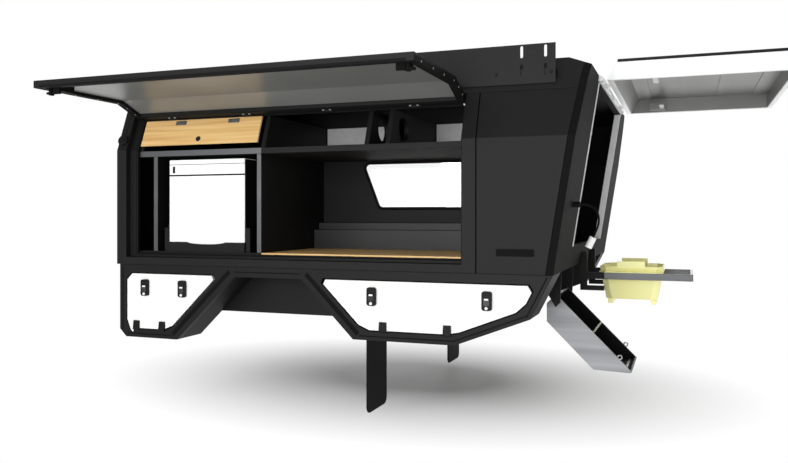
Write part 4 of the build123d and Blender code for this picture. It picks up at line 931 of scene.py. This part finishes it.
    def _facings(self, shop: Workshop) -> None:
        """Adds black facing on the rim's inner face, inner walls and edges, along both ends and the foot.

        Args:
            shop: The workshop that makes it.
        """
        facing = bmesh.new()
        thick, proud = self.facing, self.depth + self.facing
        face, wall, edge = (self.depth, proud), (self.skin + self.liner, proud), (self.edge_depth, proud)
        low, inner_low = self.foot + self.facing_inset, self.foot + self.rim
        ends = (low, self.crease, self.top - self.facing_inset)
        inner = (inner_low, self.crease, self.top - self.rim)
        front, rear = self.front + self.rim, self.rear - self.rim
        for stations, depths, heights in (
            ((self.front + self.facing_inset, front), face, ends),
            ((rear, self.rear - self.facing_inset), face, ends),
            ((front, front + thick), wall, inner),
            ((rear - thick, rear), wall, inner),
            ((front, rear), face, (low, inner_low)),
            ((front, rear), wall, (inner_low, inner_low + thick)),
            ((self.front - thick, self.front), edge, ends),
            ((self.rear, self.rear + thick), edge, ends),
            ((front, rear), (2 * self.edge_depth, proud), (self.foot - thick, self.foot)),
        ):
            self._sheet(facing, stations, depths, heights)
        self._add(shop, "hatch_facing", facing, RUBBER, "rubber")

    def _catches(self, shop: Workshop) -> None:
        """Adds a catch beside each latch: a stem by the rim and a finger that points at the nearer corner.

        Args:
            shop: The workshop that makes them.
        """
        low, high = self.catch_heights
        upper, lower = (self.catch_depth - short for short in self.finger)
        catches = bmesh.new()
        for near, far, tip in self.catches:
            root = far - self.finger_lap if tip > far else near + self.finger_lap
            stem = (near, far, self.skin, self.catch_depth)
            finger = (min(root, tip), max(root, tip), upper, lower)
            for start, end, top, foot in (stem, finger):
                corners = [self.point(s, d, low) for s, d in ((start, top), (end, top), (end, foot), (start, foot))]
                prism(catches, corners, Vector((0, 0, (high - low) * MM)))
        self._add(shop, "hatch_catches", catches, FACE_COAT, shop.slots["hatch_latches_left"], 1.5)


@dataclass
class SideOpening(Sided):
    """Trim bead and corner gusset on the flange of one side opening."""

    seat: float = 36.0
    # Corners of the bead and of the gusset, as station and height
    bead: tuple[Pair, ...] = ((92, 755), (92, 562), (92, 52), (1764, 52), (1764, 562), (1764, 755))
    bead_radius: float = 3.8
    bead_corner: float = 10.0
    gusset: tuple[Pair, ...] = ((1746.0, 727.0), (1769.0, 727.0), (1769.0, 701.0))
    gusset_thickness: float = 1.5
    hatch: SideHatch = field(default_factory=lambda: SideHatch(True))

    def build(self, shop: Workshop) -> None:
        """Adds the bead and the gusset.

        Args:
            shop: The workshop that makes them.
        """
        path = [self.hatch.point(s, self.seat, h) for s, h in self.bead]
        bead = bmesh.new()
        absorb(bead, shop.bead(path, self.bead_radius, self.bead_corner, RUBBER, False))
        self.place(bead)
        shop.piece(f"opening_seal_{self.side}", bead, RUBBER, ROOT)

        plate = bmesh.new()
        outline = [self.hatch.point(s, self.seat - self.gusset_thickness, h) for s, h in self.gusset]
        prism(plate, outline, Vector((0, self.gusset_thickness * MM, 0)))
        self.place(plate)
        shop.piece(f"opening_gusset_{self.side}", plate, RIM_LACQUER, ROOT)


@dataclass
class Galley:
    """Edge profiles, window gasket, pale sheets of painted light on the lockers' back wall and flap hardware of the
    galley.
    """

    inner: float = -996.0
    back: float = -322.0
    front: float = 100.0
    board: float = 65.0
    shelf: float = 531.0
    shelf_edge: float = 27.0
    partitions: tuple[float, ...] = (182.0, 765.0)
    thickness: float = 22.0
    profile: float = 1.5
    profile_gap: float = 1.0
    window: tuple[Pair, ...] = ((1115, 277), (1610, 277), (1610, 520), (1020, 520))
    gasket_radius: float = 8.0
    gasket_corner: float = 28.0
    gasket_proud: float = 1.0
    locker_backs: tuple[Pair, ...] = ((812.0, 1308.0), (1436.0, 1750.0))
    locker_back_heights: Pair = (562.0, 712.0)
    # Front and back of the pale sheet of painted light, in front of the back wall
    painted_light_sheet: Pair = (4.0, 0.5)
    hatch: SideHatch = field(default_factory=lambda: SideHatch(True))
    flap_depth: float = 42.0
    leaves: tuple[float, ...] = (284.0, 584.0)
    leaf_heights: Pair = (686.0, 707.0)
    leaf_length: float = 62.0
    leaf_proud: float = 1.5
    # Station, height and outward shift of the finger hole's rim, then its radii and its depth
    hole: Triple = (434.0, 613.0, 1.0)
    hole_size: Triple = (14.0, 12.0, 4.0)

    def build(self, shop: Workshop) -> None:
        """Adds the galley's pieces.

        Args:
            shop: The workshop that makes them.
        """
        self._edges(shop)
        path = [spot(s, self.back - self.gasket_proud, h) for s, h in self.window]
        gasket = shop.bead(path, self.gasket_radius, self.gasket_corner, RUBBER)
        shop.rows("window_gasket", RUBBER, ROOT, "rubber", [gasket])

        # Pale sheets on the lockers' back wall: painted light on a wall that lies in shade
        sheets = bmesh.new()
        sides = (self.back - self.painted_light_sheet[0], self.back - self.painted_light_sheet[1])
        for stations in self.locker_backs:
            box(sheets, stations, sides, self.locker_back_heights)
        shop.piece("locker_back_painted_light", sheets, LOCKER_PAINTED_LIGHT, ROOT, 0.5)
        self._flap(shop)

    def _edges(self, shop: Workshop) -> None:
        """Adds grey profiles on the partitions' and the shelf's front edges.

        Args:
            shop: The workshop that makes them.
        """
        edges = bmesh.new()
        sides = (self.inner - self.profile, self.inner)
        for station in self.partitions:
            heights = (self.board + self.profile_gap, self.shelf - self.profile_gap)
            box(edges, (station, station + self.thickness), sides, heights)
        rear = self.partitions[-1] + self.thickness
        box(edges, (self.front, rear), sides, (self.shelf, self.shelf + self.shelf_edge))
        shop.piece("cabinet_edges", edges, EDGE_PROFILE, ROOT, 0.5)

    def _flap(self, shop: Workshop) -> None:
        """Adds two hinge leaves along the flap's top edge and the rim of its finger hole.

        Args:
            shop: The workshop that makes them.
        """
        leaves = bmesh.new()
        low, high = self.leaf_heights
        corners = ((low, 0.0), (high, 0.0), (high, self.leaf_proud), (low, self.leaf_proud))
        for station in self.leaves:
            outline = [self.hatch.point(station, self.flap_depth - proud, h) for h, proud in corners]
            prism(leaves, outline, Vector((self.leaf_length * MM, 0, 0)))
        shop.piece("flap_hinges", leaves, ZINC, "locker_flap", 0.8)

        ring = bmesh.new()
        station, height, proud = self.hole
        radius, top_radius, depth = (size * MM for size in self.hole_size)
        middle = Matrix.Translation(self.hatch.point(station, self.flap_depth - proud, height))
        run, rise = self.hatch.lean
        tilt = Matrix.Rotation(math.atan(-run / rise), 4, "X") @ Matrix.Rotation(math.pi / 2, 4, "X")
        bmesh.ops.create_cone(
            ring, cap_ends=True, segments=28, radius1=radius, radius2=top_radius, depth=depth, matrix=middle @ tilt
        )
        shop.piece("flap_finger_hole", ring, GLOSS_BLACK, "locker_flap", 0.6)


@dataclass
class Fridge:
    """Shell and lid with soft corners, side panels, control slot, lid lines and side vents of the fridge."""

    front: float = 268.0
    rear: float = 692.0
    face: float = -988.0
    depth: float = 420.0
    foot: float = 75.4
    height: float = 436.0
    # Top, foot and inset of the seal under the lid and of the groove in it, below the fridge's top
    seal: Triple = (72.0, 79.0, 4.0)
    groove: Triple = (21.0, 24.0, 3.0)
    # Inset of the strips in them from the sides, setback from the face, and lap behind the shell
    strip: Triple = (2.0, 0.6, 0.5)
    # Thickness of the side panels, and their insets from the face and from the top and foot
    panel: Triple = (2.0, 5.0, 4.0)
    # The control slot's place from the front edge, out of the face and below the top, its size and its depth
    slot: Triple = (26.0, 1.2, 48.0)
    slot_size: Triple = (14.0, 34.0, 5.0)
    slot_depth: float = 3.0
    # Size and count of the vent slats, their spacing, and the lowest one's place behind the middle and above the foot
    vent: Triple = (2.0, 120.0, 5.0)
    vents: int = 9
    vent_step: float = 12.0
    vent_place: Pair = (-60.0, 60.0)

    def build(self, shop: Workshop) -> None:
        """Adds the fridge's pieces.

        Args:
            shop: The workshop that makes them.
        """
        back, top = self.face + self.depth, self.foot + self.height
        self._shell(shop, back, top)

        panels = bmesh.new()
        thick, panel_inset, panel_trim = self.panel
        for stations in ((self.front - thick, self.front), (self.rear, self.rear + thick)):
            sides = (self.face + panel_inset, back - panel_inset)
            box(panels, stations, sides, (self.foot + panel_trim, top - panel_trim))
        shop.piece("fridge_side_panels", panels, LAMINATE, "fridge", 0.6)

        slot = bmesh.new()
        along, proud, drop = self.slot
        pad(slot, (self.front + along, self.face - proud, top - drop), self.slot_size, self.slot_depth)
        shop.piece("fridge_control_slot", slot, GLOSS_BLACK, "fridge")

        strip_inset, setback, lap = self.strip
        for name, (high, low, inset), finish, slot_name in (
            ("fridge_lid_seal", self.seal, RUBBER, "rubber"), ("fridge_lid_groove", self.groove, LINER, "fridge_white"),
        ):
            strip = bmesh.new()
            sides = (self.face + setback, self.face + inset + lap)
            box(strip, (self.front + strip_inset, self.rear - strip_inset), sides, (top - low, top - high))
            shop.piece(name, strip, finish, "fridge")

        behind, rise = self.vent_place
        size, step = [length * MM for length in self.vent], (0.0, 0.0, self.vent_step * MM)
        rows = []
        for station in (self.front - thick, self.rear + thick):
            start = spot(station, (self.face + back) / 2 + behind, self.foot + rise)
            rows.append(shop.slats(start, step, self.vents, size, NYLON))
        shop.rows("fridge_vents", NYLON, "fridge", "fitting_black", rows)

    def _shell(self, shop: Workshop, back: float, top: float) -> None:
        """Adds the shell and the lid, with the seal's and the groove's bands set in.

        Args:
            shop: The workshop that makes them.
            back: The fridge's far side.
            top: Its top.
        """
        (seal_top, seal_foot, seal_inset), (groove_top, groove_foot, groove_inset) = self.seal, self.groove
        shell = bmesh.new()
        for low, high, inset in (
            (self.foot, top - seal_foot, 0.0), (top - seal_foot, top - seal_top, seal_inset),
            (top - seal_top, top - groove_foot, 0.0), (top - groove_foot, top - groove_top, groove_inset),
            (top - groove_top, top, 0.0),
        ):
            box(shell, (self.front + inset, self.rear - inset), (self.face + inset, back - inset), (low, high))
        cabinet = shop.piece("fridge_cabinet", shell, FRIDGE_SHELL, "fridge", 3.5)
        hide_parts("fridge")


@dataclass
class LowerSide(Sided):
    """Black strips of painted shade along the lower frame's grooves, and the paddles' levers and dots on the lower
    doors, on one side.
    """

    face: float = -1044.0
    paddle_proud: float = 14.0
    paddle_drop: float = 112.0
    doors: tuple[tuple[str, tuple[float, ...]], ...] = (("front", (170.0, 386.0)), ("rear", (1366.0, 1879.0)))
    # Width, height and corner radius of a lever, its place below the paddle's middle, and how proud and thick it is
    lever: Triple = (26.0, 30.0, 4.0)
    lever_place: Triple = (6.0, 3.0, 4.0)
    # Height above the paddle's middle, then width, height and corner radius, of each white dot
    dots: tuple[tuple[float, Triple], ...] = ((7.0, (17.0, 7.0, 1.2)), (-29.6, (12.5, 12.5, 6.2)))
    # How proud and thick the dots are
    dot_place: Pair = (3.8, 4.2)
    shade_strip_proud: float = 0.8
    # Start, end and width of each black strip of painted groove shade, as station and height
    painted_groove_shade: tuple[tuple[Pair, Pair, float], ...] = (
        ((326.5, -333.0), (643.5, -22.0), 20.0), ((1042.9, -22.4), (1298.9, -280.4), 20.0),
        ((672.0, -24.0), (1014.0, -24.0), 5.0), ((60.0, -340.0), (322.0, -340.0), 5.0),
        ((1306.0, -287.0), (1732.0, -287.0), 5.0), ((1732.7, -288.2), (2042.0, -167.9), 5.0),
        ((2042.0, -172.8), (2125.0, -9.5), 5.0), ((32.0, -12.0), (32.0, -322.0), 5.0),
    )

    def build(self, shop: Workshop) -> None:
        """Adds this side's pieces.

        Args:
            shop: The workshop that makes them.
        """
        # Deep black strips a little proud of the frame face: painted shade where the frame's grooves are
        strips = bmesh.new()
        for start, end, width in self.painted_groove_shade:
            p, q = (spot(s, self.face, h) for s, h in (start, end))
            across = (q - p).cross(Vector((0, 1, 0))).normalized() * width * MM / 2
            prism(strips, [p - across, q - across, q + across, p + across], Vector((0, -self.shade_strip_proud * MM, 0)))
        self.place(strips)
        shop.piece(f"frame_groove_painted_shade_{self.side}", strips, FACE_COAT, ROOT)
        for end, stations in self.doors:
            self._paddles(shop, end, stations)

    def _paddles(self, shop: Workshop, end: str, stations: Sequence[float]) -> None:
        """Adds the levers and dots of one door's paddles.

        Args:
            shop: The workshop that makes them.
            end: The door's end of the body.
            stations: The paddles' middles.
        """
        front = self.face - self.paddle_proud
        drop, lever_proud, lever_thickness = self.lever_place
        dot_proud, dot_thickness = self.dot_place
        levers, dots = bmesh.new(), bmesh.new()
        for station in stations:
            pad(levers, (station, front - lever_proud, -self.paddle_drop - drop), self.lever, lever_thickness)
            for rise, size in self.dots:
                pad(dots, (station, front - dot_proud, rise - self.paddle_drop), size, dot_thickness)
        self.place(levers)
        self.place(dots)
        body = f"lower_door_{end}_{self.side}"
        shop.piece(f"paddle_levers_{end}_{self.side}", levers, GLOSS_BLACK, body, 1.2)
        shop.piece(f"paddle_dots_{end}_{self.side}", dots, PLUG_WHITE, body)


@dataclass
class Tail:
    """Rear hatch lining, edges, locks and stiffeners, the hinge screws and the blank quarter plates."""

    hinge_station: float = 2304.9
    hatch_half: float = 632.0
    hatch_length: float = 775.0
    rim: float = 22.0
    rim_top: float = 924.0
    rim_depth: float = 84.0
    setback: float = 16.0
    slant: float = 45.0
    lining: float = 2.0
    lining_gap: float = 2.0
    # How far the lining's roof lies below the rim's top, at its top and foot, and its walls above the rim's foot
    lining_trim: Triple = (0.5, 4.0, 3.0)
    # Thickness of the edge strips, and how far they reach below and above the rim's top
    edge: Triple = (2.0, 7.0, 6.0)
    # Two corners of a lock housing and of its bar: behind the lining's front, in from its side, below the rim's top
    lock: tuple[Triple, Triple] = ((60.0, 0.0, 74.0), (150.0, 55.0, 30.0))
    lock_bar: tuple[Triple, Triple] = ((118.0, 55.0, 70.0), (142.0, 225.0, 66.0))
    # Length, shortfall in width and thickness of a stiffener, then count, spacing, and the first one's place
    stiffener: Triple = (30.0, 80.0, 4.0)
    stiffeners: int = 4
    stiffener_step: float = 186.0
    stiffener_place: Pair = (60.0, 6.0)
    screw_height: float = 859.0
    screw_proud: float = 9.0
    screw_side: float = -560.0
    screw_step: float = 70.0
    screws: int = 17
    screw_head: Pair = (4.5, 3.0)
    # Station, side and height of the quarter plates' middles, their size and thickness
    plate: Triple = (1996.0, 1049.5, 89.0)
    plate_size: Triple = (156.0, 30.0, 3.0)
    plate_thickness: float = 2.5

    def build(self, shop: Workshop) -> None:
        """Adds the tail's pieces.

        Args:
            shop: The workshop that makes them.
        """
        front = self.hinge_station + self.setback
        tip = front + self.hatch_length
        start, end = front + self.slant + self.rim + self.lining_gap, tip - self.rim - self.lining_gap
        half = self.hatch_half - self.rim - self.lining_gap
        self._lining(shop, start, end, half)

        edges = bmesh.new()
        thick, below, above = self.edge
        for side in (-self.hatch_half - thick, self.hatch_half):
            heights = (self.rim_top - below, self.rim_top + above)
            box(edges, (front + self.slant, tip), (side, side + thick), heights)
        shop.piece("rear_hatch_edges", edges, STEEL_COAT, "rear_hatch", 0.8)
        self._locks(shop, start, half)

        length, shortfall, depth = self.stiffener
        along, drop = self.stiffener_place
        first, step = spot(start + along, 0.0, self.rim_top - drop), (self.stiffener_step * MM, 0.0, 0.0)
        size = (length * MM, (2 * half - shortfall) * MM, depth * MM)
        bars = shop.slats(first, step, self.stiffeners, size, LINER)
        shop.rows("rear_hatch_stiffeners", LINER, "rear_hatch", "body_black", [bars])

        first = spot(rear_station(self.screw_height) + self.screw_proud, self.screw_side, self.screw_height)
        step = (0.0, self.screw_step * MM, 0.0)
        heads = shop.heads(first, step, self.screws, *self.screw_head, Facing.REAR, NYLON)
        shop.rows("rear_hinge_screws", NYLON, ROOT, "fitting_black", [heads])

        plates = bmesh.new()
        station, side, height = self.plate
        for sign in (-1, 1):
            pad(plates, (station, sign * side, height), self.plate_size, sign * self.plate_thickness)
        shop.piece("quarter_plates", plates, FACE_COAT, ROOT, 0.5)

    def _lining(self, shop: Workshop, start: float, end: float, half: float) -> None:
        """Adds the pale sheet under the hatch's skin and on the inside of its rim.

        Args:
            shop: The workshop that makes it.
            start: Station of the lining's front, under the skin.
            end: Station of its rear.
            half: Half its width.
        """
        lining = bmesh.new()
        roof_top, roof_foot, wall_foot = self.lining_trim
        low, high = self.rim_top - self.rim_depth + wall_foot, self.rim_top - roof_foot
        foot, wall = start - self.slant, self.lining
        box(lining, (start, end), (-half, half), (high, self.rim_top - roof_top))
        for side in (-half - wall / 2, half - wall / 2):
            cheek = [spot(s, side, h) for s, h in ((foot, low), (end, low), (end, high), (start, high))]
            prism(lining, cheek, Vector((0, wall * MM, 0)))
        slope = ((foot, low), (foot + wall, low), (start + wall, high), (start, high))
        prism(lining, [spot(s, -half, h) for s, h in slope], Vector((0, 2 * half * MM, 0)))
        box(lining, (end - wall / 2, end + wall / 2), (-half, half), (low, high))
        shop.piece("rear_hatch_lining", lining, LINER, "rear_hatch")

    def _locks(self, shop: Workshop, start: float, half: float) -> None:
        """Adds two lock housings inside the rear hatch's sides, and a slotted bar below each.

        Args:
            shop: The workshop that makes them.
            start: Station of the lining's front.
            half: Half the lining's width.
        """
        for name, corners, finish, bevel_mm in (
            ("rear_hatch_locks", self.lock, LINER, 1.5), ("rear_hatch_lock_bars", self.lock_bar, ZINC, 0.5),
        ):
            (near, side, low), (far, inward, high) = corners
            mesh = bmesh.new()
            for sign in (-1, 1):
                sides = tuple(sorted((sign * (half - side), sign * (half - inward))))
                box(mesh, (start + near, start + far), sides, (self.rim_top - low, self.rim_top - high))
            shop.piece(name, mesh, finish, "rear_hatch", bevel_mm)


@dataclass
class Fixings:
    """Screw rows on the roof plates and the mudflaps."""

    seat: float = 1.5
    plate_face: float = 971.0
    plate_height: float = 833.0
    plate_start: float = 300.0
    plate_step: float = 228.6
    plate_screws: int = 9
    plate_head: Pair = (7.0, 4.0)
    flap_face: float = 1242.0
    flap_height: float = -311.0
    flap_sides: Pair = (-762.0, 570.6)
    flap_step: float = 63.8
    flap_bolts: int = 4
    flap_head: Pair = (8.0, 4.5)

    def build(self, shop: Workshop) -> None:
        """Adds the rows.

        Args:
            shop: The workshop that makes them.
        """
        screws, step = [], (self.plate_step * MM, 0, 0)
        for sign, facing in ((-1, Facing.LEFT), (1, Facing.RIGHT)):
            start = spot(self.plate_start, sign * (self.plate_face + self.seat), self.plate_height)
            screws.append(shop.heads(start, step, self.plate_screws, *self.plate_head, facing, STEEL_COAT))
        shop.rows("roof_plate_screws", STEEL_COAT, ROOT, "frame_black", screws)

        bolts, step = [], (0, self.flap_step * MM, 0)
        for side in self.flap_sides:
            start = spot(self.flap_face + self.seat, side, self.flap_height)
            bolts.append(shop.heads(start, step, self.flap_bolts, *self.flap_head, Facing.BACK, ZINC))
        shop.rows("mudflap_bolts", ZINC, ROOT, "aluminium", bolts)


@dataclass
class TailTray:
    """Black lining and strap eyes of the tail tray, drawn level and then let down with it."""

    hinge: Pair = (2092.0, -156.0)
    eye: float = 26.0
    length: float = 470.0
    depth: float = 118.0
    sheet: float = 8.0
    near: float = -600.0
    far: float = -220.0
    droop: float = math.radians(45)
    lining: float = 2.0
    lining_drop: float = 1.0
    slack: float = 0.3
    # Radius of a strap eye and of its wire, its share of the tray's length and its height above the tray
    strap_eye: float = 9.0
    strap_wire: float = 3.2
    strap_share: float = 0.83
    strap_rise: float = 7.0
    strap_points: int = 20

    def outline(self, inset: float) -> list[Pair]:
        """Draws the tray's inner profile.

        Args:
            inset: Distance from the outside of the sheet.

        Returns:
            Its corners, as station and height.
        """
        start, top = self.hinge[0] - self.eye, self.hinge[1] + self.eye
        cut, brim = self.depth / 2, top - self.lining_drop
        return [
            (start + inset, brim), (start + inset, top - cut), (start + cut, top - self.depth + inset),
            (start + self.length - self.depth, top - self.depth + inset),
            (start + self.length - inset, top - self.sheet - inset), (start + self.length - inset, brim),
        ]

    def let_down(self, mesh: bmesh.types.BMesh) -> None:
        """Turns a level mesh to the tray's rest position.

        Args:
            mesh: The mesh that is turned.
        """
        pivot = spot(self.hinge[0], 0.0, self.hinge[1])
        turn = Matrix.Translation(pivot) @ Matrix.Rotation(self.droop, 4, "Y") @ Matrix.Translation(-pivot)
        bmesh.ops.transform(mesh, matrix=turn, verts=mesh.verts)

    def build(self, shop: Workshop) -> None:
        """Adds the lining and the eyes.

        Args:
            shop: The workshop that makes them.
        """
        outer, inner = self.sheet + self.slack, self.sheet + self.slack + self.lining
        near, far = self.near + outer, self.far - outer
        lining = bmesh.new()
        band = self.outline(outer) + list(reversed(self.outline(inner)))
        prism(lining, [spot(s, near, h) for s, h in band], Vector((0, (far - near) * MM, 0)))
        for side, step in ((near, self.lining), (far, -self.lining)):
            prism(lining, [spot(s, side, h) for s, h in self.outline(inner)], Vector((0, step * MM, 0)))
        self.let_down(lining)
        shop.piece("tail_tray_lining", lining, RUBBER, "tail_tray")

        eyes = bmesh.new()
        station = self.hinge[0] - self.eye + self.strap_share * self.length
        height = self.hinge[1] + self.eye + self.strap_rise
        turns = [math.tau * i / self.strap_points for i in range(self.strap_points)]
        for side in (self.near + self.sheet / 2, self.far - self.sheet / 2):
            circle = [
                spot(station + self.strap_eye * math.cos(a), side, height + self.strap_eye * math.sin(a))
                for a in turns
            ]
            absorb(eyes, shop.bead(circle, self.strap_wire, 0.0, ZINC))
        self.let_down(eyes)
        shop.piece("tail_tray_eyes", eyes, ZINC, "tail_tray")


@dataclass
class Lead:
    """The lighting lead at the rear post."""

    side: float = -0.800
    diameter: float = 0.009
    length: float = 0.195
    route: tuple[Pair, ...] = ((30, 288), (66, 288), (100, 262), (110, 222), (100, 182), (84, 148))

    def build(self, shop: Workshop) -> None:
        """Adds the lead as one smooth curve that ends in its plug.

        Args:
            shop: The workshop that holds its material and the plug.
        """
        post = rear_station(self.route[0][1])
        points = [(at(post + reach), self.side, up(h)) for reach, h in self.route]
        curve = bpy.data.curves.new("lighting_lead", "CURVE")
        curve.dimensions = "3D"
        curve.bevel_depth = self.diameter / 2
        curve.bevel_resolution = 4
        curve.resolution_u = 16
        spline = curve.splines.new("NURBS")
        spline.points.add(len(points) - 1)
        for target, point in zip(spline.points, points):
            target.co = (*point, 1.0)
        spline.order_u = 3
        spline.use_endpoint_u = True
        lead = bpy.data.objects.new("lighting_lead", curve)
        bpy.context.scene.collection.objects.link(lead)
        curve.materials.append(shop.material(RUBBER))
        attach(lead, ROOT)
        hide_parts("lead_cable")
        LOG.info("lighting_lead: %d points", len(points))


@dataclass
class Studio:
    """Pale floor with a painted shadow round the body, soft light and the camera at the photograph's angle."""

    floor_height: float = -0.64
    floor_reach: float = 40.0
    # Painted shadow: the floor is grey near the body and turns to white glow between these distances from a point near
    # the body, in an oval that is longer along X
    painted_shadow_fade: Pair = (0.35, 1.4)
    painted_shadow_shift: Pair = (-0.3, -0.25)
    painted_shadow_squash: float = 0.72
    # Grey tones of the floor near the body, darker than the white round it: painted shadow
    painted_shadow_tones: Pair = (0.68, 0.72)
    camera_place: Triple = (1.818, -4.192, 0.336)
    camera_turn: float = math.radians(20.54)
    focal_mm: float = 35.59
    shift_down: float = -0.0218
    horizon: float = 0.62
    zenith: float = 0.18
    # Name, place, side and power in watts of each soft light
    lamps: tuple[tuple[str, Triple, float, float], ...] = (
        ("key_softbox", (-0.6, -5.6, 1.9), 4.0, 120.0),
        ("fill_softbox", (0.9, -6.4, 0.55), 2.4, 110.0),
        ("rear_softbox", (5.4, -2.6, 2.2), 3.0, 30.0),
        ("top_softbox", (0.3, 0.4, 4.6), 5.0, 50.0),
        ("far_softbox", (0.6, 5.8, 2.2), 4.0, 150.0),
        ("front_softbox", (-6.0, 1.2, 2.4), 3.0, 60.0),
    )
    lamp_aim: Triple = (0.4, 0.0, 0.3)

    def build(self) -> None:
        """Adds floor, world, lamps and camera."""
        scene = bpy.context.scene
        scene.view_settings.view_transform = "Standard"
        self._floor()
        self._world(scene)
        for name, place, size, watts in self.lamps:
            self._lamp(name, place, size, watts)
        camera = bpy.data.cameras.new("camera")
        camera.sensor_fit = "HORIZONTAL"
        camera.sensor_width = 36.0
        camera.lens = self.focal_mm
        camera.shift_y = self.shift_down
        camera.clip_end = 200.0
        holder = bpy.data.objects.new("camera", camera)
        holder.location = self.camera_place
        holder.rotation_euler = (math.pi / 2, 0.0, self.camera_turn)
        scene.collection.objects.link(holder)
        scene.camera = holder

    def _floor(self) -> None:
        """A pale floor painted grey near the body as its shadow, fading to white glow away from the body."""
        data = bpy.data.meshes.new("floor")
        reach, z = self.floor_reach, self.floor_height
        corners = [(-reach, -reach, z), (reach, -reach, z), (reach, reach, z), (-reach, reach, z)]
        data.from_pydata(corners, [], [(0, 1, 2, 3)])
        floor = bpy.data.objects.new("floor", data)
        bpy.context.scene.collection.objects.link(floor)
        made = bpy.data.materials.new("floor_with_painted_shadow")
        made.use_nodes = True
        tree = made.node_tree
        tree.nodes.clear()
        place = node(tree, "ShaderNodeTexCoord").outputs["Object"]
        near = node(tree, "ShaderNodeVectorMath", {0: place, 1: (*self.painted_shadow_shift, -z)}).outputs["Vector"]
        squash = {0: near, 1: (self.painted_shadow_squash, 1.0, 1.0)}
        oval = node(tree, "ShaderNodeVectorMath", squash, operation="MULTIPLY").outputs["Vector"]
        away = node(tree, "ShaderNodeVectorMath", {0: oval}, operation="LENGTH").outputs["Value"]
        # The grey near the body, mixed into white glow further out, is painted shadow
        start, end = self.painted_shadow_fade
        band = {"Value": away, "From Min": start, "From Max": end, "To Min": 0.0}
        painted_shadow_fade = node(tree, "ShaderNodeMapRange", band).outputs[0]
        grain = node(tree, "ShaderNodeTexNoise", {"Vector": place, "Scale": 60.0}).outputs[0]
        dark, light = self.painted_shadow_tones
        tone = node(tree, "ShaderNodeMapRange", {"Value": grain, "To Min": dark, "To Max": light}).outputs[0]
        matt = node(tree, "ShaderNodeBsdfPrincipled", {"Base Color": tone, "Roughness": 0.8})
        white = node(tree, "ShaderNodeEmission", {"Color": (1, 1, 1, 1), "Strength": 1.0})
        mixed = node(tree, "ShaderNodeMixShader", {0: painted_shadow_fade, 1: matt.outputs[0], 2: white.outputs[0]})
        node(tree, "ShaderNodeOutputMaterial", {"Surface": mixed.outputs[0]})
        data.materials.append(made)

    def _world(self, scene: bpy.types.Scene) -> None:
        """Adds white behind the body, and a bright horizon and a darker zenith for its light and reflections.

        Args:
            scene: The scene that gets the world.
        """
        world = bpy.data.worlds.new("studio")
        scene.world = world
        world.use_nodes = True
        tree = world.node_tree
        tree.nodes.clear()
        path = node(tree, "ShaderNodeLightPath")
        way = node(tree, "ShaderNodeTexCoord").outputs["Generated"]
        height = node(tree, "ShaderNodeSeparateXYZ", {"Vector": way}).outputs["Z"]
        sky = node(
            tree,
            "ShaderNodeMapRange",
            {"Value": height, "From Min": 0.0, "From Max": 0.7, "To Min": self.horizon, "To Max": self.zenith},
        ).outputs[0]
        straight = node(
            tree,
            "ShaderNodeMath",
            {0: path.outputs["Is Camera Ray"], 1: path.outputs["Is Transmission Ray"]},
            operation="MAXIMUM",
        ).outputs[0]
        strength = node(tree, "ShaderNodeMapRange", {"Value": straight, "To Min": sky, "To Max": 1.0}).outputs[0]
        light = node(tree, "ShaderNodeBackground", {"Color": (1, 1, 1, 1), "Strength": strength})
        node(tree, "ShaderNodeOutputWorld", {"Surface": light.outputs[0]})

    def _lamp(self, name: str, place: Triple, size: float, watts: float) -> None:
        """Adds a square soft light that faces the body.

        Args:
            name: The lamp's name.
            place: Where it stands.
            size: Its side.
            watts: Its power.
        """
        lamp = bpy.data.lights.new(name, "AREA")
        lamp.shape = "SQUARE"
        lamp.size = size
        lamp.energy = watts
        holder = bpy.data.objects.new(name, lamp)
        holder.location = place
        holder.rotation_euler = (Vector(self.lamp_aim) - Vector(place)).to_track_quat("-Z", "Y").to_euler()
        bpy.context.scene.collection.objects.link(holder)


def main() -> None:
    """Builds every sub-assembly in order."""
    logging.basicConfig(level=logging.INFO, format="%(name)s %(message)s")
    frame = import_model()
    shop = Workshop(frame)
    Studio().build()
    Lead().build(shop)
    shop.dress_nodes()
    shop.round_edges()
    for left in (True, False):
        SideHatch(left).build(shop)
        SideOpening(left).build(shop)
        LowerSide(left).build(shop)
    Galley().build(shop)
    Fridge().build(shop)
    Tail().build(shop)
    TailTray().build(shop)
    Fixings().build(shop)
    bpy.context.view_layer.update()


if __name__ == "__main__":
    main()
